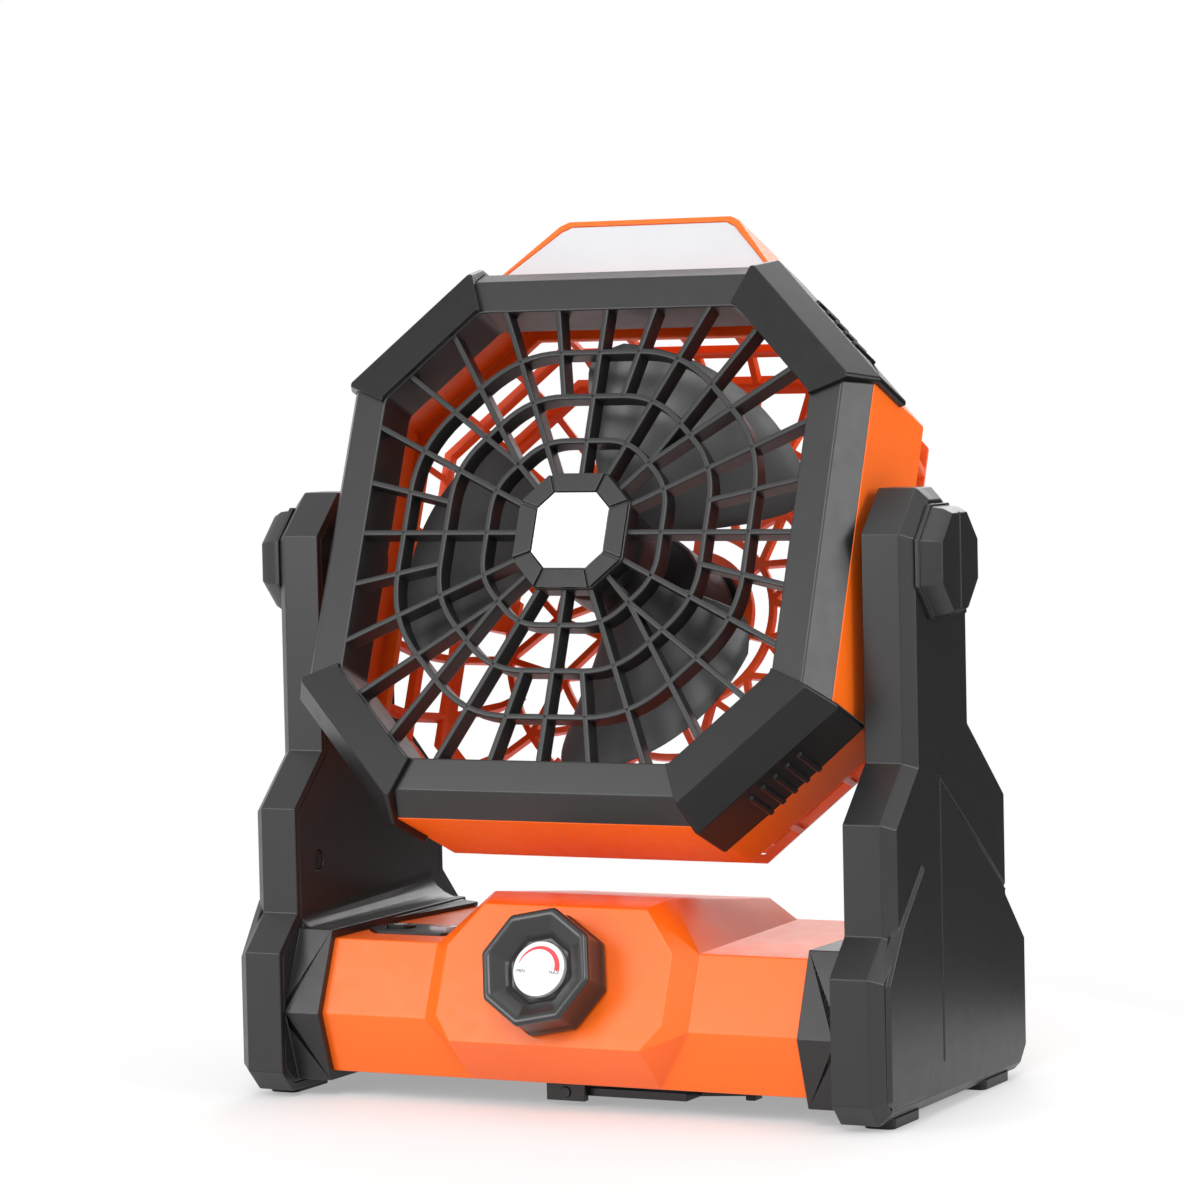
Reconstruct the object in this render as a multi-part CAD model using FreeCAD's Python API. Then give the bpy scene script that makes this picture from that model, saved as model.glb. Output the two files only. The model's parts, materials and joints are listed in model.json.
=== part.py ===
"""Portable camping fan: a tilting fan head with a lamp, carried between two arms on a battery base.

Millimetres. X is to the right, Y to the back, Z up; the rubber feet stand on Z = 0.
The head is drawn upright about its pivot in its own axes, then tilted back and lifted into place.
"""
import FreeCAD
import Part
import math
import os

V = FreeCAD.Vector
AXIS_X = V(1, 0, 0)
AXIS_Y = V(0, 1, 0)
AXIS_Z = V(0, 0, 1)

# overall
RUN_GAP = 0.5
SEAT_GAP = 0.05
WALL = 2.2

# feet and arms
FOOT_DROP = 2.0
FOOT_SEAT = 1.0
FOOT_LENGTH = 20.0
FOOT_WIDTH = 9.0
FOOT_INSET = 7.0
HEAD_SIDE_GAP = 3.2
ARM_THICK = 15.6
ARM_COVER = 4.0
ARM_CHAMFER = 3.4
ARM_FRONT = 45.4
ARM_REAR = 68.0
ARM_MID_FRONT = 34.7
ARM_MID_REAR = 53.0
ARM_TOP_FRONT = 18.3
ARM_TOP_REAR = 25.5
ARM_TOE_FRONT_TOP = 42.0
ARM_TOE_REAR_TOP = 40.5
ARM_WAIST_LOW = 52.0
ARM_WAIST_HIGH = 82.0
ARM_REAR_LOW = 55.0
ARM_REAR_HIGH = 83.5
ARM_NECK_FRONT = 97.0
ARM_NECK_REAR = 106.0
ARM_TOE_CHAMFER = 6.0
PANEL_DEPTH = 1.2
PANEL_BEVEL = 1.6
PANEL_EDGE_Y = 13.0
PANEL_TIP_Z = 72.0
REAR_FALL = 1.2
SEAM_WIDTH = 0.9

# pivot
HEAD_CLEAR = 10.8
TILT = 21.3
CROWN_RISE = 20.0
CROWN_HALF = 5.5
SHOULDER_RISE = 8.0
AXLE_R = 6.0
AXLE_GAP = 0.08
CAP_FLAT = 15.6
CAP_FACE = 13.0
CAP_HEIGHT = 6.0
CAP_BASE = 1.5
WASHER_R = 12.0

# head
FRONT = 25.2
OPENING = 66.0
OPENING_CUT = 25.8
FRAME_FLAT = 9.4
FRAME_BEVEL = 5.8
FRAME_BEVEL_DEPTH = 8.7
FRAME_INNER_DEPTH = 10.5
SHELL_REAR = 21.0
SHELL_WALL = 2.4
GUARD_PROUD = 1.8
GUARD_REAR = 2.5
GUARD_LAP = 1.2
GUARD_RIBS = 5
GUARD_RIB_PITCH = 4.4

# grille
RIB = 1.7
RIB_DEPTH = 6.0
SPOKES = 28
RING_OUTER = (53.4, 25.7)
RING_MIDDLE = (40.2, 19.6)
RING_INNER = (27.0, 13.3)
HUB_FLAT = 17.0
HUB_CORNER = 8.6
HUB_PROUD = 1.6
HUB_DEPTH = 7.0
HUB_GROOVE = 0.8
BADGE_FLAT = 11.0
BADGE_CORNER = 6.4
BADGE_THICK = 1.2

# lamp
LAMP_RISE = 20.1
LAMP_BASE_LAP = 5.3
LAMP_TOP_HALF = 25.6
LAMP_FRONT_LOW = 11.6
LAMP_FRONT_HIGH = 6.6
LAMP_RIM = 1.8
DIFFUSER_THICK = 2.0
LED_BOARD_THICK = 1.6
LED_COUNT = 7

# rear basket
BASKET_FRONT_INSET = 1.6
BASKET_MID_INSET = 3.6
BASKET_MID_Y = 35.0
BASKET_TURN_INSET = 9.7
BASKET_TURN_Y = 46.0
BASKET_REAR_INSET = 22.2
BASKET_REAR_Y = 56.0
BASKET_WALL = 2.4
BASKET_RIB = 1.9
BASKET_BAND = 10.0
BASKET_RING_RADII = (58.0, 42.0, 27.0)
MOTOR_SEAT_R = 21.0

# fan and motor
MOTOR_R = 16.5
MOTOR_LENGTH = 26.0
MOTOR_REAR_GAP = 3.0
SHAFT_R = 1.5
SHAFT_GAP = 0.05
ROTOR_TIP_GAP = 5.0
ROTOR_HUB_R = 15.0
ROTOR_HUB_DEPTH = 17.0
ROTOR_FRONT = 13.0
BLADES = 3
BLADE_THICK = 1.7
BLADE_START = 28.0

# base beam
BEAM_FRONT = 40.4
BEAM_REAR = 54.0
BEAM_TOP_FRONT = 32.0
BEAM_TOP_REAR = 45.0
BEAM_LOW_FRONT = 34.4
BEAM_LOW_REAR = 46.0
BEAM_TOP = 45.2
BEAM_CREASE = 24.8
BEAM_LOW = 7.6
COVER_THICK = 2.2
COLLAR_REACH = 10.8
COLLAR_WALL = 2.6

# flared ledge of the arm along the top of the beam
LEDGE_FRONT_REACH = 7.4
LEDGE_REAR_REACH = 16.0
LEDGE_FRONT_RISE = 5.0
LEDGE_REAR_RISE = 9.0
LEDGE_LIP = 1.4
LEDGE_STEPS = 6

# middle block that carries the knob
BLOCK_HALF = 40.6
BLOCK_REAR_HALF = 37.0
FACET_LOW = 20.2
FACET_HIGH = 57.0
FACET_LOW_Y = 48.2
FACET_TILT = 22.6
FACET_SIDE_HALF = 34.7
FACET_LOW_HALF = 29.2
FACET_HIGH_HALF = 24.9
FACET_SIDE_LOW = 27.0
FACET_SIDE_HIGH = 45.5
FACET_WALL = 5.2
CAVITY_HALF = 20.0
RIDGE_FRONT_Y = 22.0
RIDGE_FRONT_Z = 59.0
RIDGE_HALF = 27.4
RIDGE_REAR_Y = 38.0
RIDGE_REAR_Z = 52.0
BLOCK_REAR_Y = 43.0

# knob
KNOB_Z = 38.1
KNOB_HEIGHT = 12.7
KNOB_FRONT_FLAT = 15.2
KNOB_REAR_FLAT = 16.6
KNOB_GAP = 0.6
KNOB_DISH_FLAT = 13.4
KNOB_DISH_DEPTH = 3.4
DISC_R = 7.2
DISC_THICK = 1.0
KNOB_SHAFT_R = 3.0

# controls and electronics
PANEL_INSET = 16.6
PANEL_Y = -11.0
PANEL_LONG = 31.0
PANEL_WIDE = 17.0
PANEL_PROUD = 0.8
BUTTON_PITCH = 14.0
BUTTON_LONG = 8.0
BUTTON_WIDE = 6.0
BUTTON_PROUD = 0.9
BUTTON_GAP = 0.3
CELL_R = 9.0
CELL_LENGTH = 65.0
BOARD_THICK = 1.6
USB_WIDE = 9.0
USB_HIGH = 3.4
USB_X = 52.0

# hanging hook
HOOK_PIN_R = 1.5
HOOK_PIN_GAP = 0.05
HOOK_X = -4.0
HOOK_KNUCKLE = 0.9
HOOK_CLEAR = 0.4
HOOK_LEG = 4.0
HOOK_THICK = 2.4
HOOK_LENGTH = 50.0
HOOK_FRONT_Y = -27.0
HOOK_REAR_Y = 13.0
HOOK_EAR = 12.0
HOOK_PLATE = 0.8
HOOK_TIP = 12.0

# fasteners
SCREW_R = 1.5
SCREW_HEAD_R = 2.8
SCREW_HEAD = 1.6

OPENING_CORNER = OPENING - OPENING_CUT
FRAME_OUTER = OPENING + FRAME_FLAT
HEAD_HALF = FRAME_OUTER + FRAME_BEVEL
LAMP_TOP = HEAD_HALF + LAMP_RISE
LAMP_BASE_HALF = OPENING_CORNER + LAMP_BASE_LAP
BASKET_FRONT_HALF = HEAD_HALF - BASKET_FRONT_INSET
BASKET_MID_HALF = HEAD_HALF - BASKET_MID_INSET
BASKET_TURN_HALF = HEAD_HALF - BASKET_TURN_INSET
BASKET_REAR_HALF = HEAD_HALF - BASKET_REAR_INSET
ROTOR_R = OPENING - ROTOR_TIP_GAP
PIVOT_Z = RIDGE_FRONT_Z + HEAD_HALF + HEAD_CLEAR
ARM_INNER = HEAD_HALF + HEAD_SIDE_GAP
ARM_OUTER = ARM_INNER + ARM_THICK
ARM_SPLIT = ARM_INNER + ARM_COVER
ARM_TOP = PIVOT_Z + CROWN_RISE
COLLAR_INNER = ARM_INNER - COLLAR_REACH
PANEL_X = PANEL_INSET - COLLAR_INNER
FRAME_BACK = FRONT - FRAME_BEVEL_DEPTH
CORNER_SLOPE = math.tan(math.radians(22.5))
FACET_SLOPE = math.tan(math.radians(FACET_TILT))


def polygon(points):
    """Closed planar face through the given points."""
    return Part.Face(Part.makePolygon(points + [points[0]]))


def along_x(outline, x0, x1):
    """Prism of a (y, z) outline from x0 to x1."""
    face = polygon([V(x0, y, z) for y, z in outline])
    return face.extrude(V(x1 - x0, 0, 0))


def along_y(outline, y0, y1):
    """Prism of an (x, z) outline from y0 to y1."""
    face = polygon([V(x, y0, z) for x, z in outline])
    return face.extrude(V(0, y1 - y0, 0))


def along_z(outline, z0, z1):
    """Prism of an (x, y) outline from z0 to z1."""
    face = polygon([V(x, y, z0) for x, y in outline])
    return face.extrude(V(0, 0, z1 - z0))


def block(x0, x1, y0, y1, z0, z1):
    """Box between two corners."""
    return Part.makeBox(x1 - x0, y1 - y0, z1 - z0, V(x0, y0, z0))


def rod(radius, start, axis, length):
    """Cylinder from a start point along an axis."""
    return Part.makeCylinder(radius, length, start, axis)


def loft(outlines):
    """Ruled solid through closed point lists."""
    wires = [Part.makePolygon(points + [points[0]]) for points in outlines]
    return Part.makeLoft(wires, True, True)


def mirrored(shape):
    """The same shape on the other side of the YZ plane."""
    return shape.mirror(V(0, 0, 0), AXIS_X)


def octagon(half, corner):
    """Octagon in (a, b) with flats at distance half, whose corners lie at the distance corner."""
    c = corner
    h = half
    return [(c, h), (h, c), (h, -c), (c, -h), (-c, -h), (-h, -c), (-h, c), (-c, h)]


def regular(half):
    """Regular octagon by its half width across flats."""
    return octagon(half, half * CORNER_SLOPE)


def head_octagon(half):
    """Octagon of the head, parallel to the front opening."""
    return octagon(half, OPENING_CORNER + (half - OPENING) * CORNER_SLOPE)


def at_y(outline, y):
    """Points of an (x, z) outline at depth y."""
    return [V(x, y, z) for x, z in outline]


def at_x(outline, x):
    """Points of a (y, z) outline at the given x."""
    return [V(x, y, z) for y, z in outline]


def tilt_head(shape):
    """Tilt a head shape back and lift it to the pivot."""
    placed = shape.copy()
    placed.rotate(V(0, 0, 0), AXIS_X, -TILT)
    placed.translate(V(0, 0, PIVOT_Z))
    return placed


def shrink(outline, distance):
    """Outline moved inwards by a distance."""
    face = polygon([V(a, b, 0) for a, b in outline])
    inner = face.makeOffset2D(-distance, 2)
    return [(v.X, v.Y) for v in inner.OuterWire.OrderedVertexes]


# arms


def arm_profile():
    """Side outline (y, z) of an arm, from the bottom front going up."""
    low = FOOT_DROP
    toe = ARM_TOE_CHAMFER
    shoulder = PIVOT_Z + SHOULDER_RISE
    return [
        (-(ARM_FRONT - toe), low),
        (-ARM_FRONT, low + toe),
        (-ARM_FRONT, ARM_TOE_FRONT_TOP),
        (-ARM_MID_FRONT, ARM_WAIST_LOW),
        (-ARM_MID_FRONT, ARM_WAIST_HIGH),
        (-ARM_TOP_FRONT, ARM_NECK_FRONT),
        (-ARM_TOP_FRONT, shoulder),
        (-CROWN_HALF, ARM_TOP),
        (CROWN_HALF, ARM_TOP),
        (ARM_TOP_REAR, shoulder),
        (ARM_TOP_REAR, ARM_NECK_REAR),
        (ARM_MID_REAR, ARM_REAR_HIGH),
        (ARM_MID_REAR, ARM_REAR_LOW),
        (ARM_REAR, ARM_TOE_REAR_TOP),
        (ARM_REAR, low + toe),
        (ARM_REAR - toe, low),
    ]


def foot_centres():
    """Y positions of the two feet of an arm."""
    reach = FOOT_LENGTH / 2 + FOOT_INSET + ARM_TOE_CHAMFER
    return (-ARM_FRONT + reach, ARM_REAR - reach)


def foot(y):
    """Rubber pad under the right arm."""
    x = (ARM_INNER + ARM_OUTER) / 2
    pad = block(x - FOOT_WIDTH / 2, x + FOOT_WIDTH / 2, y - FOOT_LENGTH / 2, y + FOOT_LENGTH / 2,
                0, FOOT_DROP + FOOT_SEAT)
    upright = [e for e in pad.Edges if abs(e.Vertexes[0].Z - e.Vertexes[1].Z) > FOOT_DROP]
    return pad.makeFillet(FOOT_WIDTH / 4, upright)


def arm_screw_places():
    """(y, z) of the screws that clamp the two halves of an arm."""
    return [(-12.0, 108.0), (12.0, 122.0), (-22.0, 66.0), (30.0, 74.0), (52.0, 26.0)]


def arm_outer_shell():
    """Outer half of the right arm, hollow, with its raised panels, feet seats and axle bore."""
    profile = arm_profile()
    bevel = shrink(profile, ARM_CHAMFER)
    face_x = ARM_OUTER - PANEL_DEPTH
    body = along_x(profile, ARM_INNER, face_x - ARM_CHAMFER)
    body = body.fuse(loft([at_x(profile, face_x - ARM_CHAMFER), at_x(bevel, face_x)]))
    toe = [
        (-PANEL_EDGE_Y, PANEL_TIP_Z),
        (-ARM_MID_FRONT + ARM_CHAMFER, ARM_WAIST_LOW + ARM_CHAMFER),
        (-ARM_FRONT + ARM_CHAMFER, ARM_TOE_FRONT_TOP - ARM_CHAMFER / 2),
        (-ARM_FRONT + ARM_CHAMFER, FOOT_DROP + ARM_TOE_CHAMFER),
        (-ARM_FRONT + ARM_CHAMFER + ARM_TOE_CHAMFER, FOOT_DROP + ARM_CHAMFER),
        (-PANEL_EDGE_Y, FOOT_DROP + ARM_CHAMFER),
    ]
    body = body.fuse(loft([at_x(toe, face_x - PANEL_BEVEL), at_x(shrink(toe, PANEL_BEVEL), ARM_OUTER)]))
    inner = shrink(profile, WALL)
    body = body.cut(along_x(inner, ARM_INNER - 1, face_x - WALL - REAR_FALL / 2))
    body = body.cut(panel_seams(face_x))
    body = body.fuse(axle_boss(ARM_SPLIT, face_x - WALL - REAR_FALL / 2))
    for y, z in arm_screw_places():
        body = body.fuse(rod(SCREW_R * 2, V(ARM_SPLIT, y, z), AXIS_X, face_x - WALL - ARM_SPLIT))
        body = body.cut(rod(SCREW_R, V(ARM_SPLIT - 1, y, z), AXIS_X, ARM_THICK / 2))
    body = body.cut(axle_bore())
    return body.cut(foot_seats()).removeSplitter()


def panel_seams(face_x):
    """Cuts in the outer face: the upright crease, the slanted seam and the set-back rear panel."""
    seam_top = ARM_REAR_HIGH + 9.5
    slope = (seam_top - ARM_REAR_LOW) / ARM_MID_REAR
    step = 0.7
    rear_panel = along_x([
        (0, seam_top), (0, PIVOT_Z - CAP_FLAT), (ARM_TOP_REAR + 1, PIVOT_Z - CAP_FLAT),
        (ARM_TOP_REAR + 1, ARM_NECK_REAR), (ARM_MID_REAR + 1, ARM_REAR_HIGH),
        (ARM_MID_REAR + 1, ARM_REAR_LOW - slope),
    ], face_x - step, ARM_OUTER + 1)
    groove = along_x([
        (0, seam_top), (ARM_MID_REAR + 10, ARM_REAR_LOW - slope * 10),
        (ARM_MID_REAR + 10, ARM_REAR_LOW - slope * 10 - SEAM_WIDTH * 1.3), (0, seam_top - SEAM_WIDTH * 1.3),
    ], face_x - 2 * step, ARM_OUTER + 1)
    crease = along_x([
        (-SEAM_WIDTH / 2, FOOT_DROP + 12), (-SEAM_WIDTH / 2, PIVOT_Z - CAP_FLAT + 1),
        (SEAM_WIDTH / 2, PIVOT_Z - CAP_FLAT + 1), (SEAM_WIDTH / 2, FOOT_DROP + 12),
    ], face_x - step, ARM_OUTER + 1)
    far = ARM_OUTER + 1
    fall = along_z([(face_x, 0), (face_x - REAR_FALL, ARM_REAR), (far, ARM_REAR), (far, 0)],
                   0, PIVOT_Z - CAP_FLAT)
    return Part.makeCompound([rear_panel, groove, crease, fall])


def axle_boss(x0, x1):
    """Round boss that carries the axle inside the arm."""
    return rod(AXLE_R + 3.5, V(x0, 0, PIVOT_Z), AXIS_X, x1 - x0 + 0.5)


def axle_bore():
    """Bore for the axle and the pocket for its nut, under the pivot cap."""
    bore = rod(AXLE_R + AXLE_GAP, V(ARM_INNER - 1, 0, PIVOT_Z), AXIS_X, ARM_THICK + 4)
    return bore


def foot_seats():
    """Shallow seats for the two feet of the right arm."""
    return Part.makeCompound([foot(y) for y in foot_centres()])


def beam_outline(grow=0.0):
    """Six-sided section (y, z) of the base beam, grown outwards by a distance."""
    outline = [
        (-BEAM_LOW_FRONT, BEAM_LOW), (-BEAM_FRONT, BEAM_CREASE), (-BEAM_TOP_FRONT, BEAM_TOP),
        (BEAM_TOP_REAR, BEAM_TOP), (BEAM_REAR, BEAM_CREASE), (BEAM_LOW_REAR, BEAM_LOW),
    ]
    return shrink(outline, -grow) if grow else outline


def arm_inner_shell():
    """Inner cover of the right arm, set inside the outer shell, with the collar round the beam end and the ledge."""
    profile = arm_profile()
    body = along_x(shrink(profile, WALL + SEAT_GAP), ARM_INNER, ARM_SPLIT)
    body = body.cut(along_x(shrink(profile, 2 * WALL), ARM_INNER + WALL, ARM_SPLIT + 1))
    collar = along_x(beam_outline(COLLAR_WALL), COLLAR_INNER, ARM_INNER + WALL)
    body = body.fuse([collar, beam_ledge()])
    body = body.cut(along_x(beam_outline(SEAT_GAP), COLLAR_INNER - 1, ARM_INNER))
    body = body.fuse(axle_boss(ARM_INNER, ARM_SPLIT - 0.5))
    body = body.cut(axle_bore())
    for y, z in arm_screw_places():
        body = body.fuse(rod(SCREW_HEAD_R + 1.4, V(ARM_INNER, y, z), AXIS_X, ARM_COVER))
        body = body.cut(rod(SCREW_R + 0.2, V(ARM_INNER - 1, y, z), AXIS_X, ARM_COVER + 2))
        body = body.cut(rod(SCREW_HEAD_R + 0.2, V(ARM_INNER - 1, y, z), AXIS_X, 1 + SCREW_HEAD + 0.4))
    return body.cut(foot_seats()).removeSplitter()


def beam_ledge():
    """Flared ledge of the right arm along the top of the beam, hollow-cheeked and wider to the rear."""
    front = at_y(ledge_outline(LEDGE_FRONT_REACH, LEDGE_FRONT_RISE), -BEAM_TOP_FRONT)
    rear = at_y(ledge_outline(LEDGE_REAR_REACH, LEDGE_REAR_RISE), BEAM_TOP_REAR)
    return loft([front, rear])


def ledge_outline(reach, rise):
    """Section (x, z) of the ledge: a lip, then a hollow curve up to the arm."""
    low = BEAM_TOP + SEAT_GAP
    high = low + LEDGE_LIP
    curve = [(ARM_INNER + 1, low), (ARM_INNER - reach, low)]
    for step in range(LEDGE_STEPS + 1):
        angle = math.radians(90 * step / LEDGE_STEPS)
        curve.append((ARM_INNER - reach * (1 - math.sin(angle)), high + rise * (1 - math.cos(angle))))
    curve.append((ARM_INNER + 1, high + rise))
    return curve


def arm_screws():
    """Screws that clamp the halves of the right arm."""
    shapes = []
    for y, z in arm_screw_places():
        head = rod(SCREW_HEAD_R, V(ARM_INNER + 0.4, y, z), AXIS_X, SCREW_HEAD)
        slot = block(ARM_INNER, ARM_INNER + 1.0, y - 0.4, y + 0.4, z - 1.8, z + 1.8)
        shank = rod(SCREW_R - 0.05, V(ARM_INNER + 0.4, y, z), AXIS_X, ARM_THICK / 2 + 1)
        shapes.append(head.fuse(shank).cut(slot))
    return shapes


def pivot_cap():
    """Eight-sided cap on the outside of the right arm, split across by a fine groove."""
    face_x = ARM_OUTER - PANEL_DEPTH
    flange = loft([at_x(shift(regular(CAP_FLAT)), face_x), at_x(shift(regular(CAP_FLAT)), face_x + CAP_BASE)])
    dome = loft([
        at_x(shift(regular(CAP_FLAT - 0.8)), face_x + CAP_BASE),
        at_x(shift(regular(CAP_FLAT - 1.2)), face_x + CAP_HEIGHT - 1.4),
        at_x(shift(regular(CAP_FACE)), face_x + CAP_HEIGHT + PANEL_DEPTH),
    ])
    cap = flange.fuse(dome)
    cap = cap.cut(rod(AXLE_R + 3, V(face_x - 1, 0, PIVOT_Z), AXIS_X, CAP_HEIGHT - 0.6))
    groove = block(face_x + CAP_HEIGHT + 0.7, ARM_OUTER + CAP_HEIGHT + 1, -0.35, 0.35,
                   PIVOT_Z - CAP_FLAT, PIVOT_Z + CAP_FLAT)
    return cap.cut(groove).removeSplitter()


def shift(outline):
    """Outline in (y, z) moved up to the pivot."""
    return [(a, b + PIVOT_Z) for a, b in outline]


def pivot_washer():
    """Friction washer between the head and the right arm, fixed to the arm."""
    ring = rod(WASHER_R, V(HEAD_HALF + RUN_GAP, 0, PIVOT_Z), AXIS_X, ARM_INNER - HEAD_HALF - RUN_GAP)
    return ring.cut(rod(AXLE_R + AXLE_GAP, V(HEAD_HALF, 0, PIVOT_Z), AXIS_X, ARM_THICK))


def pivot_axle():
    """Hollow axle of the head at the right, with its flange inside the head shell."""
    end = ARM_OUTER - PANEL_DEPTH + 1.0
    inside = HEAD_HALF - SHELL_WALL
    axle = rod(AXLE_R, V(inside - 1, 0, 0), AXIS_X, end - inside + 1)
    flange = rod(AXLE_R + 4, V(inside - 2, 0, 0), AXIS_X, 2)
    wire_way = rod(AXLE_R - 2.5, V(inside - 3, 0, 0), AXIS_X, end - inside + 5)
    return axle.fuse(flange).cut(wire_way).removeSplitter()


def axle_clip():
    """Retaining ring on the outer end of the right axle, inside the cap."""
    x0 = ARM_OUTER - PANEL_DEPTH + RUN_GAP
    ring = rod(AXLE_R + 2, V(x0, 0, 0), AXIS_X, 1.2)
    return ring.cut(rod(AXLE_R, V(x0 - 1, 0, 0), AXIS_X, 4))


# head


def front_grille():
    """Front frame and its grille of straight spokes and cornered rings, moulded as one."""
    rear = -FRAME_BACK
    frame = loft([at_y(head_octagon(FRAME_OUTER), -FRONT), at_y(head_octagon(HEAD_HALF), rear)])
    lip_half = HEAD_HALF - SHELL_WALL - SEAT_GAP
    frame = frame.fuse(along_y(head_octagon(lip_half), rear, rear + 4))
    frame = frame.cut(along_y(head_octagon(OPENING), -FRONT - 1, FRAME_INNER_DEPTH - FRONT))
    frame = frame.cut(loft([at_y(head_octagon(OPENING), FRAME_INNER_DEPTH - FRONT - 0.001),
                            at_y(head_octagon(lip_half - WALL), rear + 4.001)]))
    ribs = grille_spokes() + grille_rings()
    hub = along_y(octagon(HUB_FLAT, HUB_CORNER), -FRONT - HUB_PROUD, -FRONT - HUB_PROUD + HUB_DEPTH)
    grille = frame.fuse(ribs + [hub])
    grille = grille.cut(hub_details())
    return grille.removeSplitter()


def spoke(angle, inner, outer):
    """Straight spoke from radius inner to radius outer, at an angle from the vertical axis."""
    turn = math.radians(angle)
    near = V(math.sin(turn) * inner, 0, math.cos(turn) * inner)
    far = V(math.sin(turn) * outer, 0, math.cos(turn) * outer)
    return rib_between(near, far)


def rib_between(near, far):
    """Straight rib of the grille between two points of its plane."""
    length = (far - near).Length
    bar = Part.makeBox(RIB, RIB_DEPTH, length, V(-RIB / 2, -FRONT + 0.3, 0))
    turn = math.degrees(math.atan2(far.x - near.x, far.z - near.z))
    bar.rotate(V(0, 0, 0), AXIS_Y, turn)
    bar.translate(near)
    return bar


def octagon_reach(angle, half, corner):
    """Distance from the centre to an octagon's edge at an angle from the vertical axis."""
    turn = math.radians(angle % 90)
    along = min(half / max(math.cos(turn), 1e-6), half / max(math.sin(turn), 1e-6))
    across = (half + corner) / (math.cos(turn) + math.sin(turn))
    return min(along, across)


def grille_spokes():
    """Spokes: long ones to the hub, short ones to the middle ring, and pairs that meet at each corner."""
    step = 360 / SPOKES
    bars = []
    inner_half, inner_corner = RING_INNER
    node = octagon_reach(45, inner_half, inner_corner)
    for quarter in range(4):
        base = quarter * 90
        for k in (-2, -1, 0, 1, 2):
            angle = base + k * step
            reach = octagon_reach(angle, OPENING, OPENING_CORNER) + 1
            start = octagon_reach(angle, *RING_MIDDLE) if abs(k) == 1 else HUB_FLAT - 2
            bars.append(spoke(angle, start, reach))
        diagonal = base + 45
        bars.append(spoke(diagonal, HUB_FLAT - 2, node + 1))
        turn = math.radians(diagonal)
        near = V(math.sin(turn) * node, 0, math.cos(turn) * node)
        for side in (-1, 1):
            angle = math.radians(diagonal + side * step / 2)
            reach = octagon_reach(diagonal + side * step / 2, OPENING, OPENING_CORNER) + 1
            far = V(math.sin(angle) * reach, 0, math.cos(angle) * reach)
            bars.append(rib_between(near, far))
    return bars


def rounded_octagon(half, corner, grow):
    """Cornered ring outline: an octagon whose corners are cut once more, grown by a distance."""
    outer_half = half + grow
    outer_corner = corner + grow * CORNER_SLOPE
    trim = (outer_half - outer_corner) * 0.24
    points = []
    for quarter in range(4):
        turn = math.radians(90 * quarter)
        raw = [(outer_corner - trim, outer_half), (outer_corner + trim * 0.72, outer_half - trim * 0.55),
               (outer_half - trim * 0.55, outer_corner + trim * 0.72), (outer_half, outer_corner - trim)]
        for a, b in raw:
            points.append((a * math.cos(turn) + b * math.sin(turn), b * math.cos(turn) - a * math.sin(turn)))
    return points


def grille_rings():
    """The three cornered rings of the grille."""
    rings = []
    for half, corner in (RING_OUTER, RING_MIDDLE, RING_INNER):
        outer = along_y(rounded_octagon(half, corner, RIB / 2), -FRONT + 0.3, -FRONT + 0.3 + RIB_DEPTH)
        rings.append(outer.cut(along_y(rounded_octagon(half, corner, -RIB / 2), -FRONT - 1, -FRONT + 9)))
    return rings


def hub_details():
    """Cuts in the hub: the seat of the badge and the grooves that part the rim into blocks."""
    front = -FRONT - HUB_PROUD
    cuts = [along_y(octagon(BADGE_FLAT + SEAT_GAP, BADGE_CORNER + SEAT_GAP / 2), front - 1, front + BADGE_THICK)]
    badge = octagon(BADGE_FLAT, BADGE_CORNER)
    rim = octagon(HUB_FLAT, HUB_CORNER)
    for (x0, z0), (x1, z1) in zip(badge, rim):
        near = V(x0, 0, z0)
        far = V(x1, 0, z1)
        groove = block(-HUB_GROOVE / 2, HUB_GROOVE / 2, front - 1, front + 0.7, -1, (far - near).Length + 1)
        groove.rotate(V(0, 0, 0), AXIS_Y, math.degrees(math.atan2(x1 - x0, z1 - z0)))
        groove.translate(near)
        cuts.append(groove)
    return Part.makeCompound(cuts)


def hub_badge():
    """Bare white plate in the middle of the hub."""
    front = -FRONT - HUB_PROUD
    return along_y(octagon(BADGE_FLAT, BADGE_CORNER), front + 0.1, front + BADGE_THICK)


def guard_hull(grow):
    """Outside of the frame and shell, grown by a distance, as far back as the guards reach."""
    front = -FRONT - (GUARD_PROUD if grow else 0)
    bevel = loft([at_y(head_octagon(FRAME_OUTER + grow), front),
                  at_y(head_octagon(HEAD_HALF + grow), -FRAME_BACK)])
    return bevel.fuse(along_y(head_octagon(HEAD_HALF + grow), -FRAME_BACK, GUARD_REAR))


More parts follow.
